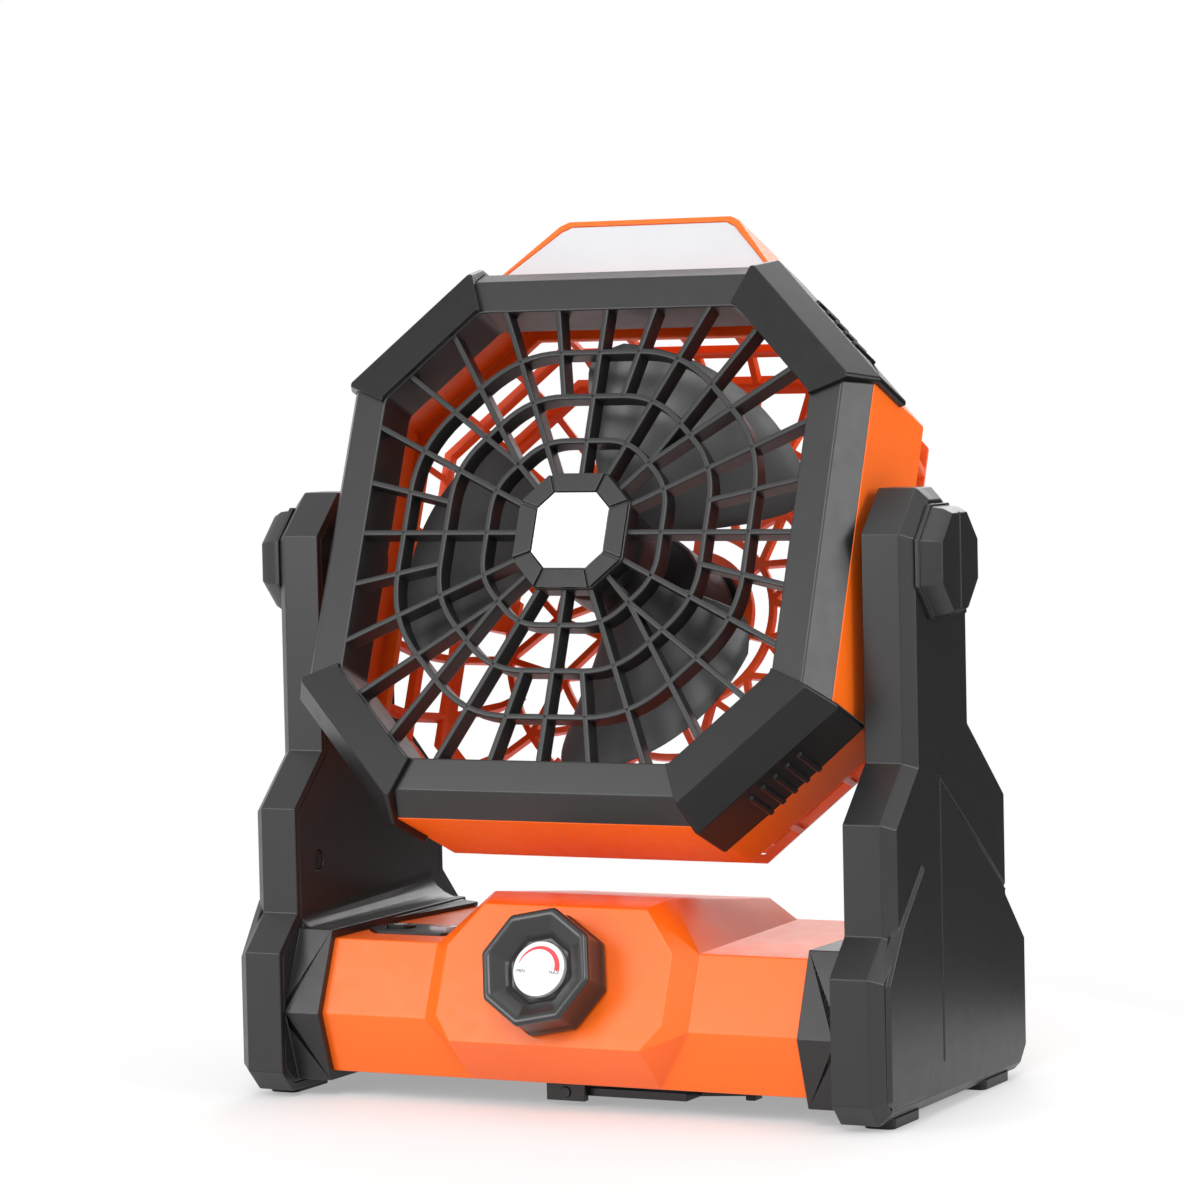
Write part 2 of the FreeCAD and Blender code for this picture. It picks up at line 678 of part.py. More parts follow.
def corner_guard(side_x, side_z):
    """Rubber guard over one corner of the head, with a ribbed pad on its slanted side."""
    lap = OPENING_CORNER - GUARD_LAP
    inward = OPENING / 2
    outward = HEAD_HALF
    near = (OPENING - inward, lap - inward * CORNER_SLOPE)
    far = (OPENING + outward, lap + outward * CORNER_SLOPE)
    wedge = [near, far, (far[0], far[0]), (far[1], far[0]), (near[1], near[0])]
    corner = along_y([(side_x * x, side_z * z) for x, z in wedge], -FRONT - 5, GUARD_REAR)
    guard = guard_hull(GUARD_PROUD).common(corner).cut(guard_hull(0))
    guard = guard.cut(along_y(head_octagon(OPENING + 0.3), -FRONT - 4, 0))
    middle = (HEAD_HALF + GUARD_PROUD + OPENING_CORNER + (HEAD_HALF + GUARD_PROUD - OPENING) * CORNER_SLOPE)
    reach = middle / math.sqrt(2)
    ribs = []
    for k in range(GUARD_RIBS):
        offset = (k - (GUARD_RIBS - 1) / 2) * GUARD_RIB_PITCH
        rib = block(offset - 0.8, offset + 0.8, -FRAME_BACK + 4, GUARD_REAR - 0.01, reach - 0.6, reach + 0.9)
        rib.rotate(V(0, 0, 0), AXIS_Y, 45 if side_x * side_z > 0 else -45)
        if side_z < 0:
            rib.rotate(V(0, 0, 0), AXIS_Y, 180)
        ribs.append(rib)
    guard = guard.fuse(ribs)
    if side_z > 0:
        guard = guard.cut(lamp_housing())
    return guard.removeSplitter()


def lamp_outline(margin=0.0):
    """Trapezoid (x, z) of the lamp on top of the head, drawn in by a margin."""
    nib = 3.0
    top = LAMP_TOP - margin
    low = HEAD_HALF - 1 + margin
    base = LAMP_BASE_HALF - margin * 1.5
    crest = LAMP_TOP_HALF - margin * 0.6
    return [(-base, low), (-crest - nib, top - 1.6), (-crest, top), (crest, top),
            (crest + nib, top - 1.6), (base, low)]


def lamp_housing():
    """Lamp body with a sloped front, as a solid."""
    body = along_y(lamp_outline(), -LAMP_FRONT_LOW - 1, SHELL_REAR)
    far = LAMP_TOP + 8
    low = HEAD_HALF - 6
    lean = (LAMP_FRONT_LOW - LAMP_FRONT_HIGH) / (LAMP_TOP - HEAD_HALF)
    cutter = along_x([
        (-LAMP_FRONT_LOW - lean * (HEAD_HALF - low), low), (-LAMP_FRONT_LOW + lean * (far - HEAD_HALF), far),
        (-LAMP_FRONT_LOW - 30, far), (-LAMP_FRONT_LOW - 30, low),
    ], -HEAD_HALF, HEAD_HALF)
    return body.cut(cutter)


def head_shell():
    """Eight-sided shell of the head, open at both ends, with the lamp housing on top."""
    front = -FRAME_BACK
    tube = along_y(head_octagon(HEAD_HALF), front, SHELL_REAR)
    body = tube.fuse(lamp_housing())
    body = body.cut(along_y(head_octagon(HEAD_HALF - SHELL_WALL), front - 1, SHELL_REAR + 1))
    cavity = along_y(lamp_outline(LAMP_RIM), -LAMP_FRONT_LOW - 3, SHELL_REAR - SHELL_WALL)
    floor = block(-HEAD_HALF, HEAD_HALF, -HEAD_HALF, HEAD_HALF, 0, HEAD_HALF + LAMP_RIM - 0.6)
    body = body.cut(cavity.cut(floor))
    body = body.fuse(shell_seat())
    for side in (-1, 1):
        hole = rod(AXLE_R, V(side * (HEAD_HALF - SHELL_WALL - 1), 0, 0), V(side, 0, 0), SHELL_WALL + 2)
        body = body.cut(hole)
    return body.removeSplitter()


def shell_seat():
    """Inner ledge at the back of the shell that the rear basket screws to."""
    ring = along_y(head_octagon(HEAD_HALF - 1), SHELL_REAR - 2.4, SHELL_REAR)
    return ring.cut(along_y(head_octagon(BASKET_FRONT_HALF - 5), SHELL_REAR - 3, SHELL_REAR + 1))


def lamp_diffuser():
    """Frosted cover of the lamp, seated inside the rim."""
    lean = (LAMP_FRONT_LOW - LAMP_FRONT_HIGH) / (LAMP_TOP - HEAD_HALF)
    plate = along_y(lamp_outline(LAMP_RIM + SEAT_GAP), -LAMP_FRONT_LOW - 4, SHELL_REAR)
    front = slope_slab(lean, 0.5, DIFFUSER_THICK)
    floor = block(-HEAD_HALF, HEAD_HALF, -HEAD_HALF, HEAD_HALF, 0, HEAD_HALF + LAMP_RIM - 0.6 + SEAT_GAP)
    return plate.common(front).cut(floor)


def slope_slab(lean, set_back, thick):
    """Slab parallel to the lamp's sloped front, set back from it."""
    low = HEAD_HALF - 6
    far = LAMP_TOP + 8
    y_low = -LAMP_FRONT_LOW - lean * (HEAD_HALF - low) + set_back
    y_far = -LAMP_FRONT_LOW + lean * (far - HEAD_HALF) + set_back
    return along_x([(y_low, low), (y_far, far), (y_far + thick, far), (y_low + thick, low)],
                   -HEAD_HALF, HEAD_HALF)


def led_board():
    """Lamp circuit board with its row of light-emitting diodes, behind the diffuser."""
    depth = 8.0
    low = HEAD_HALF + LAMP_RIM - 0.6
    board = along_y([(-30, low), (-24, LAMP_TOP - 5), (24, LAMP_TOP - 5), (30, low)],
                    depth, depth + LED_BOARD_THICK)
    diodes = []
    for k in range(LED_COUNT):
        x = (k - (LED_COUNT - 1) / 2) * 7.0
        diodes.append(block(x - 1.8, x + 1.8, depth - 1.0, depth, HEAD_HALF + 6, HEAD_HALF + 10))
    return board.fuse(diodes)


def basket_cup(inset):
    """Outside of the rear basket, drawn in by an inset, as a solid."""
    stations = [(BASKET_FRONT_HALF, SHELL_REAR), (BASKET_MID_HALF, BASKET_MID_Y),
                (BASKET_TURN_HALF, BASKET_TURN_Y), (BASKET_REAR_HALF, BASKET_REAR_Y)]
    outlines = []
    for half, y in stations:
        depth = y - inset if y == BASKET_REAR_Y else y
        outlines.append(at_y(head_octagon(half - inset), depth))
    return loft(outlines)


def basket_ribs():
    """Radial plates and bands that the wall of the basket is cut to."""
    far = HEAD_HALF + 20
    plates = []
    for k in range(SPOKES // 2):
        plate = block(-BASKET_RIB / 2, BASKET_RIB / 2, SHELL_REAR, BASKET_REAR_Y + 1, -far, far)
        plate.rotate(V(0, 0, 0), AXIS_Y, k * 360 / SPOKES)
        plates.append(plate)
    bands = [block(-far, far, SHELL_REAR, SHELL_REAR + 3, -far, far),
             block(-far, far, BASKET_MID_Y - 1.2, BASKET_MID_Y + 1.2, -far, far),
             block(-far, far, BASKET_TURN_Y - 1.2, BASKET_TURN_Y + 1.2, -far, far),
             block(-far, far, SHELL_REAR, BASKET_REAR_Y + 1, -BASKET_BAND / 2, BASKET_BAND / 2)]
    return plates + bands


def rear_basket():
    """Rear basket: ribbed side wall, and a back of rings and slanted struts round the motor seat."""
    wall = basket_cup(0).cut(basket_cup(BASKET_WALL))
    far = HEAD_HALF + 20
    middle = rod(BASKET_RING_RADII[0] - 2.5, V(0, BASKET_REAR_Y - 8, 0), AXIS_Y, 12)
    ribs = basket_ribs()
    side = wall.cut(middle).common(ribs[0].fuse(ribs[1:]))
    back = rear_face()
    seat = rod(MOTOR_SEAT_R, V(0, BASKET_REAR_Y - BASKET_WALL, 0), AXIS_Y, BASKET_WALL)
    basket = side.fuse(back + [seat])
    basket = basket.cut(motor_screw_holes())
    return basket.removeSplitter()


def rear_face():
    """Rings and zigzag struts of the basket's back."""
    y0 = BASKET_REAR_Y - BASKET_WALL
    pieces = []
    for radius in BASKET_RING_RADII:
        ring = rod(radius + BASKET_RIB / 2, V(0, y0, 0), AXIS_Y, BASKET_WALL)
        pieces.append(ring.cut(rod(radius - BASKET_RIB / 2, V(0, y0 - 1, 0), AXIS_Y, BASKET_WALL + 2)))
    outer, mid, inner = BASKET_RING_RADII
    count = SPOKES // 2
    for k in range(count):
        angle = 2 * math.pi * k / count
        half_step = math.pi / count
        pieces.append(strut(inner, angle, mid, angle + half_step, y0))
        pieces.append(strut(inner, angle, mid, angle - half_step, y0))
        pieces.append(strut(mid, angle + half_step, outer, angle, y0))
        pieces.append(strut(mid, angle - half_step, outer, angle, y0))
    for k in range(count // 2):
        angle = 4 * math.pi * k / count
        pieces.append(strut(MOTOR_SEAT_R - 1, angle, inner, angle, y0))
    return pieces


def strut(r0, a0, r1, a1, y0):
    """Flat strut between two points given by radius and angle."""
    near = V(r0 * math.sin(a0), 0, r0 * math.cos(a0))
    far = V(r1 * math.sin(a1), 0, r1 * math.cos(a1))
    bar = Part.makeBox(BASKET_RIB, BASKET_WALL, (far - near).Length, V(-BASKET_RIB / 2, y0, 0))
    bar.rotate(V(0, 0, 0), AXIS_Y, math.degrees(math.atan2(far.x - near.x, far.z - near.z)))
    bar.translate(near)
    return bar


def motor_screw_places():
    """(x, z) of the motor screws."""
    return [(11 * math.sin(a), 11 * math.cos(a)) for a in (0, 2 * math.pi / 3, 4 * math.pi / 3)]


def motor_screw_holes():
    """Holes for the motor screws and the rear bearing boss."""
    holes = [rod(SCREW_R + 0.1, V(x, BASKET_REAR_Y - 10, z), AXIS_Y, 20) for x, z in motor_screw_places()]
    return Part.makeCompound(holes)


def motor_screws():
    """Three screws that hold the motor to the back of the basket."""
    shapes = []
    for x, z in motor_screw_places():
        head = rod(SCREW_HEAD_R, V(x, BASKET_REAR_Y, z), AXIS_Y, SCREW_HEAD)
        shank = rod(SCREW_R, V(x, BASKET_REAR_Y - BASKET_WALL - MOTOR_REAR_GAP - 4, z), AXIS_Y,
                    BASKET_WALL + MOTOR_REAR_GAP + 4 + SCREW_HEAD / 2)
        slot = block(x - 1.8, x + 1.8, BASKET_REAR_Y + SCREW_HEAD - 0.6, BASKET_REAR_Y + SCREW_HEAD + 1,
                     z - 0.4, z + 0.4)
        shapes.append(head.fuse(shank).cut(slot))
    return shapes


def motor_rear():
    """Depth of the motor's back face."""
    return BASKET_REAR_Y - BASKET_WALL - MOTOR_REAR_GAP


def motor():
    """Motor can with its front bearing boss."""
    back = motor_rear()
    can = rod(MOTOR_R, V(0, back - MOTOR_LENGTH, 0), AXIS_Y, MOTOR_LENGTH)
    rims = [e for e in can.Edges if e.isClosed()]
    can = can.makeChamfer(1.0, rims)
    boss = rod(5.0, V(0, back - MOTOR_LENGTH - 2, 0), AXIS_Y, 3)
    can = can.fuse(boss)
    can = can.cut(rod(SHAFT_R + SHAFT_GAP, V(0, back - MOTOR_LENGTH - 4, 0), AXIS_Y, MOTOR_LENGTH))
    for x, z in motor_screw_places():
        can = can.cut(rod(SCREW_R + 0.02, V(x, back - 5, z), AXIS_Y, 8))
    return can.removeSplitter()


def motor_mount():
    """Rubber-faced spacer plate between the motor and the basket."""
    plate = rod(MOTOR_R + 1.5, V(0, motor_rear(), 0), AXIS_Y, MOTOR_REAR_GAP)
    for x, z in motor_screw_places():
        plate = plate.cut(rod(SCREW_R + 0.1, V(x, motor_rear() - 1, z), AXIS_Y, MOTOR_REAR_GAP + 2))
    return plate


def motor_shaft():
    """Motor shaft, pressed into the rotor."""
    back = motor_rear()
    start = -ROTOR_FRONT + 3
    return rod(SHAFT_R, V(0, start, 0), AXIS_Y, back - 8 - start)


def rotor():
    """Rotor with a domed hub and three wide, pitched blades."""
    front = -ROTOR_FRONT
    hub = rod(ROTOR_HUB_R, V(0, front, 0), AXIS_Y, ROTOR_HUB_DEPTH)
    front_rim = [e for e in hub.Edges if e.isClosed() and e.BoundBox.YMax < front + 0.1]
    hub = hub.makeFillet(4.0, front_rim)
    hollow = rod(ROTOR_HUB_R - 2, V(0, front + 4, 0), AXIS_Y, ROTOR_HUB_DEPTH)
    core = rod(4.5, V(0, front + 2, 0), AXIS_Y, ROTOR_HUB_DEPTH - 2)
    hub = hub.cut(hollow).fuse(core)
    blades = [blade(BLADE_START + 360 / BLADES * k) for k in range(BLADES)]
    body = hub.fuse(blades)
    return body.cut(rod(SHAFT_R, V(0, front + 3, 0), AXIS_Y, ROTOR_HUB_DEPTH))


def blade(turn):
    """One blade, thin sections of growing chord set along a radius and trimmed round at the tip."""
    sections = [(ROTOR_HUB_R - 1.5, 20.0, 38.0, 0.0), (30.0, 54.0, 25.0, 3.0),
                (46.0, 82.0, 16.0, 5.0), (ROTOR_R + 3, 92.0, 12.0, 6.0)]
    mid_y = -ROTOR_FRONT + ROTOR_HUB_DEPTH * 0.55
    wires = []
    for radius, chord, pitch, sweep in sections:
        tip = math.radians(pitch)
        along = V(math.cos(tip), math.sin(tip), 0)
        across = V(-math.sin(tip), math.cos(tip), 0)
        centre = V(sweep, mid_y, radius)
        corners = []
        for a, b in ((-1, -1), (1, -1), (1, 1), (-1, 1)):
            corners.append(centre + along * (a * chord / 2) + across * (b * BLADE_THICK / 2))
        wires.append(Part.makePolygon(corners + [corners[0]]))
    body = Part.makeLoft(wires, True, False)
    ring = rod(ROTOR_R, V(0, -40, 0), AXIS_Y, 80).cut(rod(ROTOR_HUB_R - 1, V(0, -41, 0), AXIS_Y, 82))
    body = body.common(ring)
    body.rotate(V(0, 0, 0), AXIS_Y, turn)
    return body


# base


def facet_y(z):
    """Depth of the knob facet's plane at a height."""
    return -FACET_LOW_Y + (z - FACET_LOW) * FACET_SLOPE


def block_solid(grow):
    """Middle block of the base with its leaning octagonal facet, grown inwards by a negative value."""
    g = grow
    facet = [(FACET_HIGH_HALF, FACET_HIGH), (FACET_SIDE_HALF, FACET_SIDE_HIGH), (FACET_SIDE_HALF, FACET_SIDE_LOW),
             (FACET_LOW_HALF, FACET_LOW)]
    facet = facet + [(-x, z) for x, z in reversed(facet)]
    points = [V(x, facet_y(z) - g, z) for x, z in facet]
    rim = []
    for sign in (1, -1):
        s = sign
        rim += [
            V(s * (RIDGE_HALF + g), -RIDGE_FRONT_Y, RIDGE_FRONT_Z + g),
            V(s * (BLOCK_HALF + g), -BEAM_TOP_FRONT, BEAM_TOP),
            V(s * (BLOCK_HALF + g), -BEAM_FRONT, BEAM_CREASE),
            V(s * (FACET_LOW_HALF + g), -BEAM_LOW_FRONT, BEAM_LOW),
            V(s * (RIDGE_HALF + 3 + g), RIDGE_REAR_Y + g, RIDGE_REAR_Z + g),
            V(s * (BLOCK_REAR_HALF + g), BLOCK_REAR_Y + g, BEAM_TOP),
            V(s * (BLOCK_REAR_HALF + g), BLOCK_REAR_Y + g, BEAM_LOW),
        ]
    return hull(points + rim)


def hull(points):
    """Convex solid round a set of points."""
    count = len(points)
    centre = V(0, 0, 0)
    for p in points:
        centre = centre + p
    centre = centre * (1.0 / count)
    planes = {}
    for i in range(count):
        for j in range(i + 1, count):
            for k in range(j + 1, count):
                normal = (points[j] - points[i]).cross(points[k] - points[i])
                if normal.Length < 1e-6:
                    continue
                normal.normalize()
                if normal.dot(points[i] - centre) < 0:
                    normal = normal * -1
                level = normal.dot(points[i])
                if any(normal.dot(p) > level + 1e-4 for p in points):
                    continue
                key = (round(normal.x, 3), round(normal.y, 3), round(normal.z, 3))
                planes[key] = (normal, level)
    faces = []
    for normal, level in planes.values():
        on_plane = [p for p in points if abs(normal.dot(p) - level) < 1e-3]
        middle = V(0, 0, 0)
        for p in on_plane:
            middle = middle + p
        middle = middle * (1.0 / len(on_plane))
        first = (on_plane[0] - middle).normalize()
        second = normal.cross(first)
        on_plane.sort(key=lambda p: math.atan2((p - middle).dot(second), (p - middle).dot(first)))
        faces.append(polygon(on_plane))
    return Part.Solid(Part.Shell(faces))


def base_upper_housing():
    """Hollow beam of the base with the middle block, open below for its cover."""
    outside = along_x(beam_outline(), -ARM_INNER, ARM_INNER)
    outside = outside.fuse(block_solid(0))
    inside = along_x(beam_outline(-WALL), -ARM_INNER + WALL, ARM_INNER - WALL)
    inside = inside.fuse(block_cavity())
    cover_way = along_z([(-ARM_INNER + WALL, -BEAM_LOW_FRONT + WALL), (ARM_INNER - WALL, -BEAM_LOW_FRONT + WALL),
                         (ARM_INNER - WALL, BEAM_LOW_REAR - WALL), (-ARM_INNER + WALL, BEAM_LOW_REAR - WALL)],
                        BEAM_LOW - 1, BEAM_LOW + WALL + 1)
    body = outside.cut(inside).cut(cover_way)
    body = body.cut([panel_cut(), knob_shaft_hole(), usb_hole()])
    return body.removeSplitter()


def block_cavity():
    """Room inside the middle block for the speed control."""
    low = FACET_LOW + 5
    high = FACET_HIGH - 7
    return hull([
        V(-CAVITY_HALF, facet_y(low) + FACET_WALL, low), V(CAVITY_HALF, facet_y(low) + FACET_WALL, low),
        V(-CAVITY_HALF, facet_y(high) + FACET_WALL, high), V(CAVITY_HALF, facet_y(high) + FACET_WALL, high),
        V(-CAVITY_HALF, 20, high), V(CAVITY_HALF, 20, high), V(-CAVITY_HALF, 20, low), V(CAVITY_HALF, 20, low),
    ])


def panel_outline(margin):
    """Rounded outline of the control panel, drawn in by a margin."""
    long_half = PANEL_LONG / 2 - margin
    wide_half = PANEL_WIDE / 2 - margin
    cut = wide_half * 0.6
    return [(PANEL_X + a, PANEL_Y + b) for a, b in (
        (-long_half, -wide_half + cut), (-long_half + cut, -wide_half), (long_half - cut, -wide_half),
        (long_half, -wide_half + cut), (long_half, wide_half - cut), (long_half - cut, wide_half),
        (-long_half + cut, wide_half), (-long_half, wide_half - cut))]


def panel_cut():
    """Window in the top of the beam for the control panel."""
    return along_z(panel_outline(0), BEAM_TOP - WALL - 1, BEAM_TOP + 1)


def button_outline(index, grow):
    """Outline of one button, or of its hole when grown."""
    x = PANEL_X + (index - 0.5) * BUTTON_PITCH
    long_half = BUTTON_LONG / 2 + grow
    wide_half = BUTTON_WIDE / 2 + grow
    cut = wide_half * 0.5
    return [(x + a, PANEL_Y + b) for a, b in (
        (-long_half, -wide_half + cut), (-long_half + cut, -wide_half), (long_half - cut, -wide_half),
        (long_half, -wide_half + cut), (long_half, wide_half - cut), (long_half - cut, wide_half),
        (-long_half + cut, wide_half), (-long_half, wide_half - cut))]


def control_panel():
    """Black panel on top of the beam with two button holes."""
    top = BEAM_TOP + PANEL_PROUD
    body = along_z(panel_outline(SEAT_GAP), BEAM_TOP - WALL, top)
    for index in (0, 1):
        body = body.cut(along_z(button_outline(index, BUTTON_GAP), BEAM_TOP - WALL - 1, top + 1))
    return body


def button(index):
    """Push button in the panel, standing on the board's switch with room to travel."""
    low = board_top() + 1.2
    return along_z(button_outline(index, 0), low, BEAM_TOP + PANEL_PROUD + BUTTON_PROUD)


def board_top():
    """Height of the main board's upper face."""
    return BEAM_TOP - WALL - 6.0


def main_circuit_board():
    """Main board under the panel with the two switches and a chip."""
    top = board_top()
    body = block(PANEL_X - 20, PANEL_X + 26, PANEL_Y - 12, PANEL_Y + 18, top - BOARD_THICK, top)
    parts = [block(PANEL_X + (i - 0.5) * BUTTON_PITCH - 2.5, PANEL_X + (i - 0.5) * BUTTON_PITCH + 2.5,
                   PANEL_Y - 2.5, PANEL_Y + 2.5, top, top + 0.3) for i in (0, 1)]
    parts.append(block(PANEL_X + 12, PANEL_X + 20, PANEL_Y + 4, PANEL_Y + 12, top, top + 1.4))
    legs = [block(PANEL_X + a - 2, PANEL_X + a + 2, PANEL_Y + 12, PANEL_Y + 16, BEAM_LOW + COVER_THICK, top - 1)
            for a in (-16, 22)]
    return body.fuse(parts + legs)


def knob_frame(shape):
    """Turn a knob shape, drawn along -Y at the origin, square to the facet at the knob's centre."""
    placed = shape.copy()
    placed.rotate(V(0, 0, 0), AXIS_X, -FACET_TILT)
    placed.translate(V(0, facet_y(KNOB_Z), KNOB_Z))
    return placed


def knob_shaft_hole():
    """Hole in the facet for the knob's shaft."""
    return knob_frame(rod(KNOB_SHAFT_R + 0.4, V(0, -2, 0), AXIS_Y, 12))


def speed_knob():
    """Eight-sided knob with a dished face."""
    front = -KNOB_HEIGHT
    body = loft([at_y(regular(KNOB_REAR_FLAT), -KNOB_GAP), at_y(regular(KNOB_REAR_FLAT), -KNOB_GAP - 2),
                 at_y(regular(KNOB_FRONT_FLAT), front + 1.2), at_y(regular(KNOB_FRONT_FLAT - 1.0), front)])
    rim = at_y(regular(KNOB_DISH_FLAT), front - 0.01)
    floor = at_y(regular(DISC_R + 0.4), front + KNOB_DISH_DEPTH)
    body = body.cut(loft([rim, floor]))
    body = body.cut(rod(DISC_R, V(0, front, 0), AXIS_Y, KNOB_DISH_DEPTH + DISC_THICK - 0.4))
    body = body.cut(rod(KNOB_SHAFT_R, V(0, -6, 0), AXIS_Y, 8))
    return knob_frame(body.removeSplitter())


def knob_dial_disc():
    """White disc in the middle of the knob, for its scale."""
    depth = -KNOB_HEIGHT + KNOB_DISH_DEPTH - 0.4
    return knob_frame(rod(DISC_R, V(0, depth, 0), AXIS_Y, DISC_THICK))


def knob_shaft():
    """Shaft of the speed control, pressed into the knob."""
    return knob_frame(rod(KNOB_SHAFT_R, V(0, -6, 0), AXIS_Y, 14))


def speed_potentiometer():
    """Body of the speed control behind the facet, round the shaft."""
    depth = FACET_WALL
    body = rod(8.5, V(0, depth + 0.2, 0), AXIS_Y, 6).fuse(rod(4.6, V(0, depth - 1.6, 0), AXIS_Y, 3))
    body = body.cut(rod(KNOB_SHAFT_R + 0.06, V(0, -1, 0), AXIS_Y, 9.2))
    return knob_frame(body.common(rod(20, V(0, depth, 0), AXIS_Y, 10)))


def usb_hole():
    """Slot in the rear upper face of the beam for the charging socket."""
    return block(USB_X - USB_WIDE / 2, USB_X + USB_WIDE / 2, BEAM_LOW_REAR - 4, BEAM_REAR + 2,
                 BEAM_CREASE - 8 - USB_HIGH / 2, BEAM_CREASE - 8 + USB_HIGH / 2)


def usb_c_socket():
    """Charging socket in the rear of the base."""
    z = BEAM_CREASE - 8
    outer = block(USB_X - USB_WIDE / 2 + SEAT_GAP, USB_X + USB_WIDE / 2 - SEAT_GAP, BEAM_LOW_REAR - 7,
                  BEAM_LOW_REAR + 2.4, z - USB_HIGH / 2 + SEAT_GAP, z + USB_HIGH / 2 - SEAT_GAP)
    mouth = block(USB_X - USB_WIDE / 2 + 0.6, USB_X + USB_WIDE / 2 - 0.6, BEAM_LOW_REAR - 4, BEAM_REAR,
                  z - USB_HIGH / 2 + 0.5, z + USB_HIGH / 2 - 0.5)
    tongue = block(USB_X - USB_WIDE / 2 + 1.6, USB_X + USB_WIDE / 2 - 1.6, BEAM_LOW_REAR - 5,
                   BEAM_LOW_REAR + 1.4, z - 0.3, z + 0.3)
    return outer.cut(mouth).fuse(tongue)


def base_bottom_cover():
    """Flat bottom cover of the base with screw holes."""
    g = SEAT_GAP
    body = along_z([(-ARM_INNER + WALL + g, -BEAM_LOW_FRONT + WALL + g), (ARM_INNER - WALL - g, -BEAM_LOW_FRONT + WALL + g),
                    (ARM_INNER - WALL - g, BEAM_LOW_REAR - WALL - g), (-ARM_INNER + WALL + g, BEAM_LOW_REAR - WALL - g)],
                   BEAM_LOW, BEAM_LOW + COVER_THICK)
    for x, y in base_screw_places():
        body = body.cut(rod(SCREW_R, V(x, y, BEAM_LOW - 1), AXIS_Z, COVER_THICK + 2))
        body = body.cut(rod(SCREW_HEAD_R + 0.1, V(x, y, BEAM_LOW - 1), AXIS_Z, 1 + SCREW_HEAD / 2))
    return body


def base_screw_places():
    """(x, y) of the bottom cover's screws."""
    reach = COLLAR_INNER - 7.6
    return [(x, y) for x in (-reach, reach) for y in (-24.0, 36.0)]


def base_screws():
    """Screws of the bottom cover."""
    shapes = []
    for x, y in base_screw_places():
        head = rod(SCREW_HEAD_R, V(x, y, BEAM_LOW - SCREW_HEAD / 2), AXIS_Z, SCREW_HEAD)
        shank = rod(SCREW_R, V(x, y, BEAM_LOW), AXIS_Z, 8)
        slot = block(x - 1.8, x + 1.8, y - 0.4, y + 0.4, BEAM_LOW - 2, BEAM_LOW - 0.3)
        shapes.append(head.fuse(shank).cut(slot))
    return shapes


def cell_places():
    """(y, z) of the two battery cells."""
    z = BEAM_LOW + COVER_THICK + 1.5 + CELL_R
    return [(15.0, z), (15.0 + 2 * CELL_R + 1.0, z)]


def battery_cells():
    """Two rechargeable cells lying along the beam."""
    cells = []
    for y, z in cell_places():
        can = rod(CELL_R, V(-CELL_LENGTH / 2, y, z), AXIS_X, CELL_LENGTH)
        nib = rod(2.5, V(CELL_LENGTH / 2, y, z), AXIS_X, 0.8)
        cells.append(can.fuse(nib))
    return cells


def battery_holder():
    """Tray under and round the ends of the cells."""
    (y0, z), (y1, _) = cell_places()
    half = CELL_LENGTH / 2 + 3
    tray = block(-half, half, y0 - CELL_R - 1, y1 + CELL_R + 0.4, BEAM_LOW + COVER_THICK, z - 2)
    room = [rod(CELL_R, V(-CELL_LENGTH / 2, y, z), AXIS_X, CELL_LENGTH + 0.8) for y in (y0, y1)]
    return tray.cut(room).removeSplitter()


# hanging hook


def hook_pin_z():
    """Height of the hook's pin."""
    return BEAM_LOW - HOOK_PLATE - HOOK_KNUCKLE - HOOK_PIN_R - HOOK_CLEAR


def hook_bracket():
    """Hinge plate under the base with an ear at the front and one at the back."""
    low = hook_pin_z() - HOOK_PIN_R - HOOK_KNUCKLE
    plate = block(HOOK_X - HOOK_EAR / 2, HOOK_X + HOOK_EAR / 2, HOOK_FRONT_Y, HOOK_REAR_Y, BEAM_LOW - HOOK_PLATE, BEAM_LOW)
    ears = [block(HOOK_X - HOOK_EAR / 2, HOOK_X + HOOK_EAR / 2, y, y + 2.4, low, BEAM_LOW - HOOK_PLATE / 2)
            for y in (HOOK_FRONT_Y, HOOK_REAR_Y - 2.4)]
    body = plate.fuse(ears)
    return body.cut(rod(HOOK_PIN_R, V(HOOK_X, HOOK_FRONT_Y - 1, hook_pin_z()), AXIS_Y,
                        HOOK_REAR_Y - HOOK_FRONT_Y + 2)).removeSplitter()


def hook_pin():
    """Steel pin of the hook, pressed into the ears."""
    return rod(HOOK_PIN_R, V(HOOK_X, HOOK_FRONT_Y - 0.4, hook_pin_z()), AXIS_Y, HOOK_REAR_Y - HOOK_FRONT_Y + 0.8)


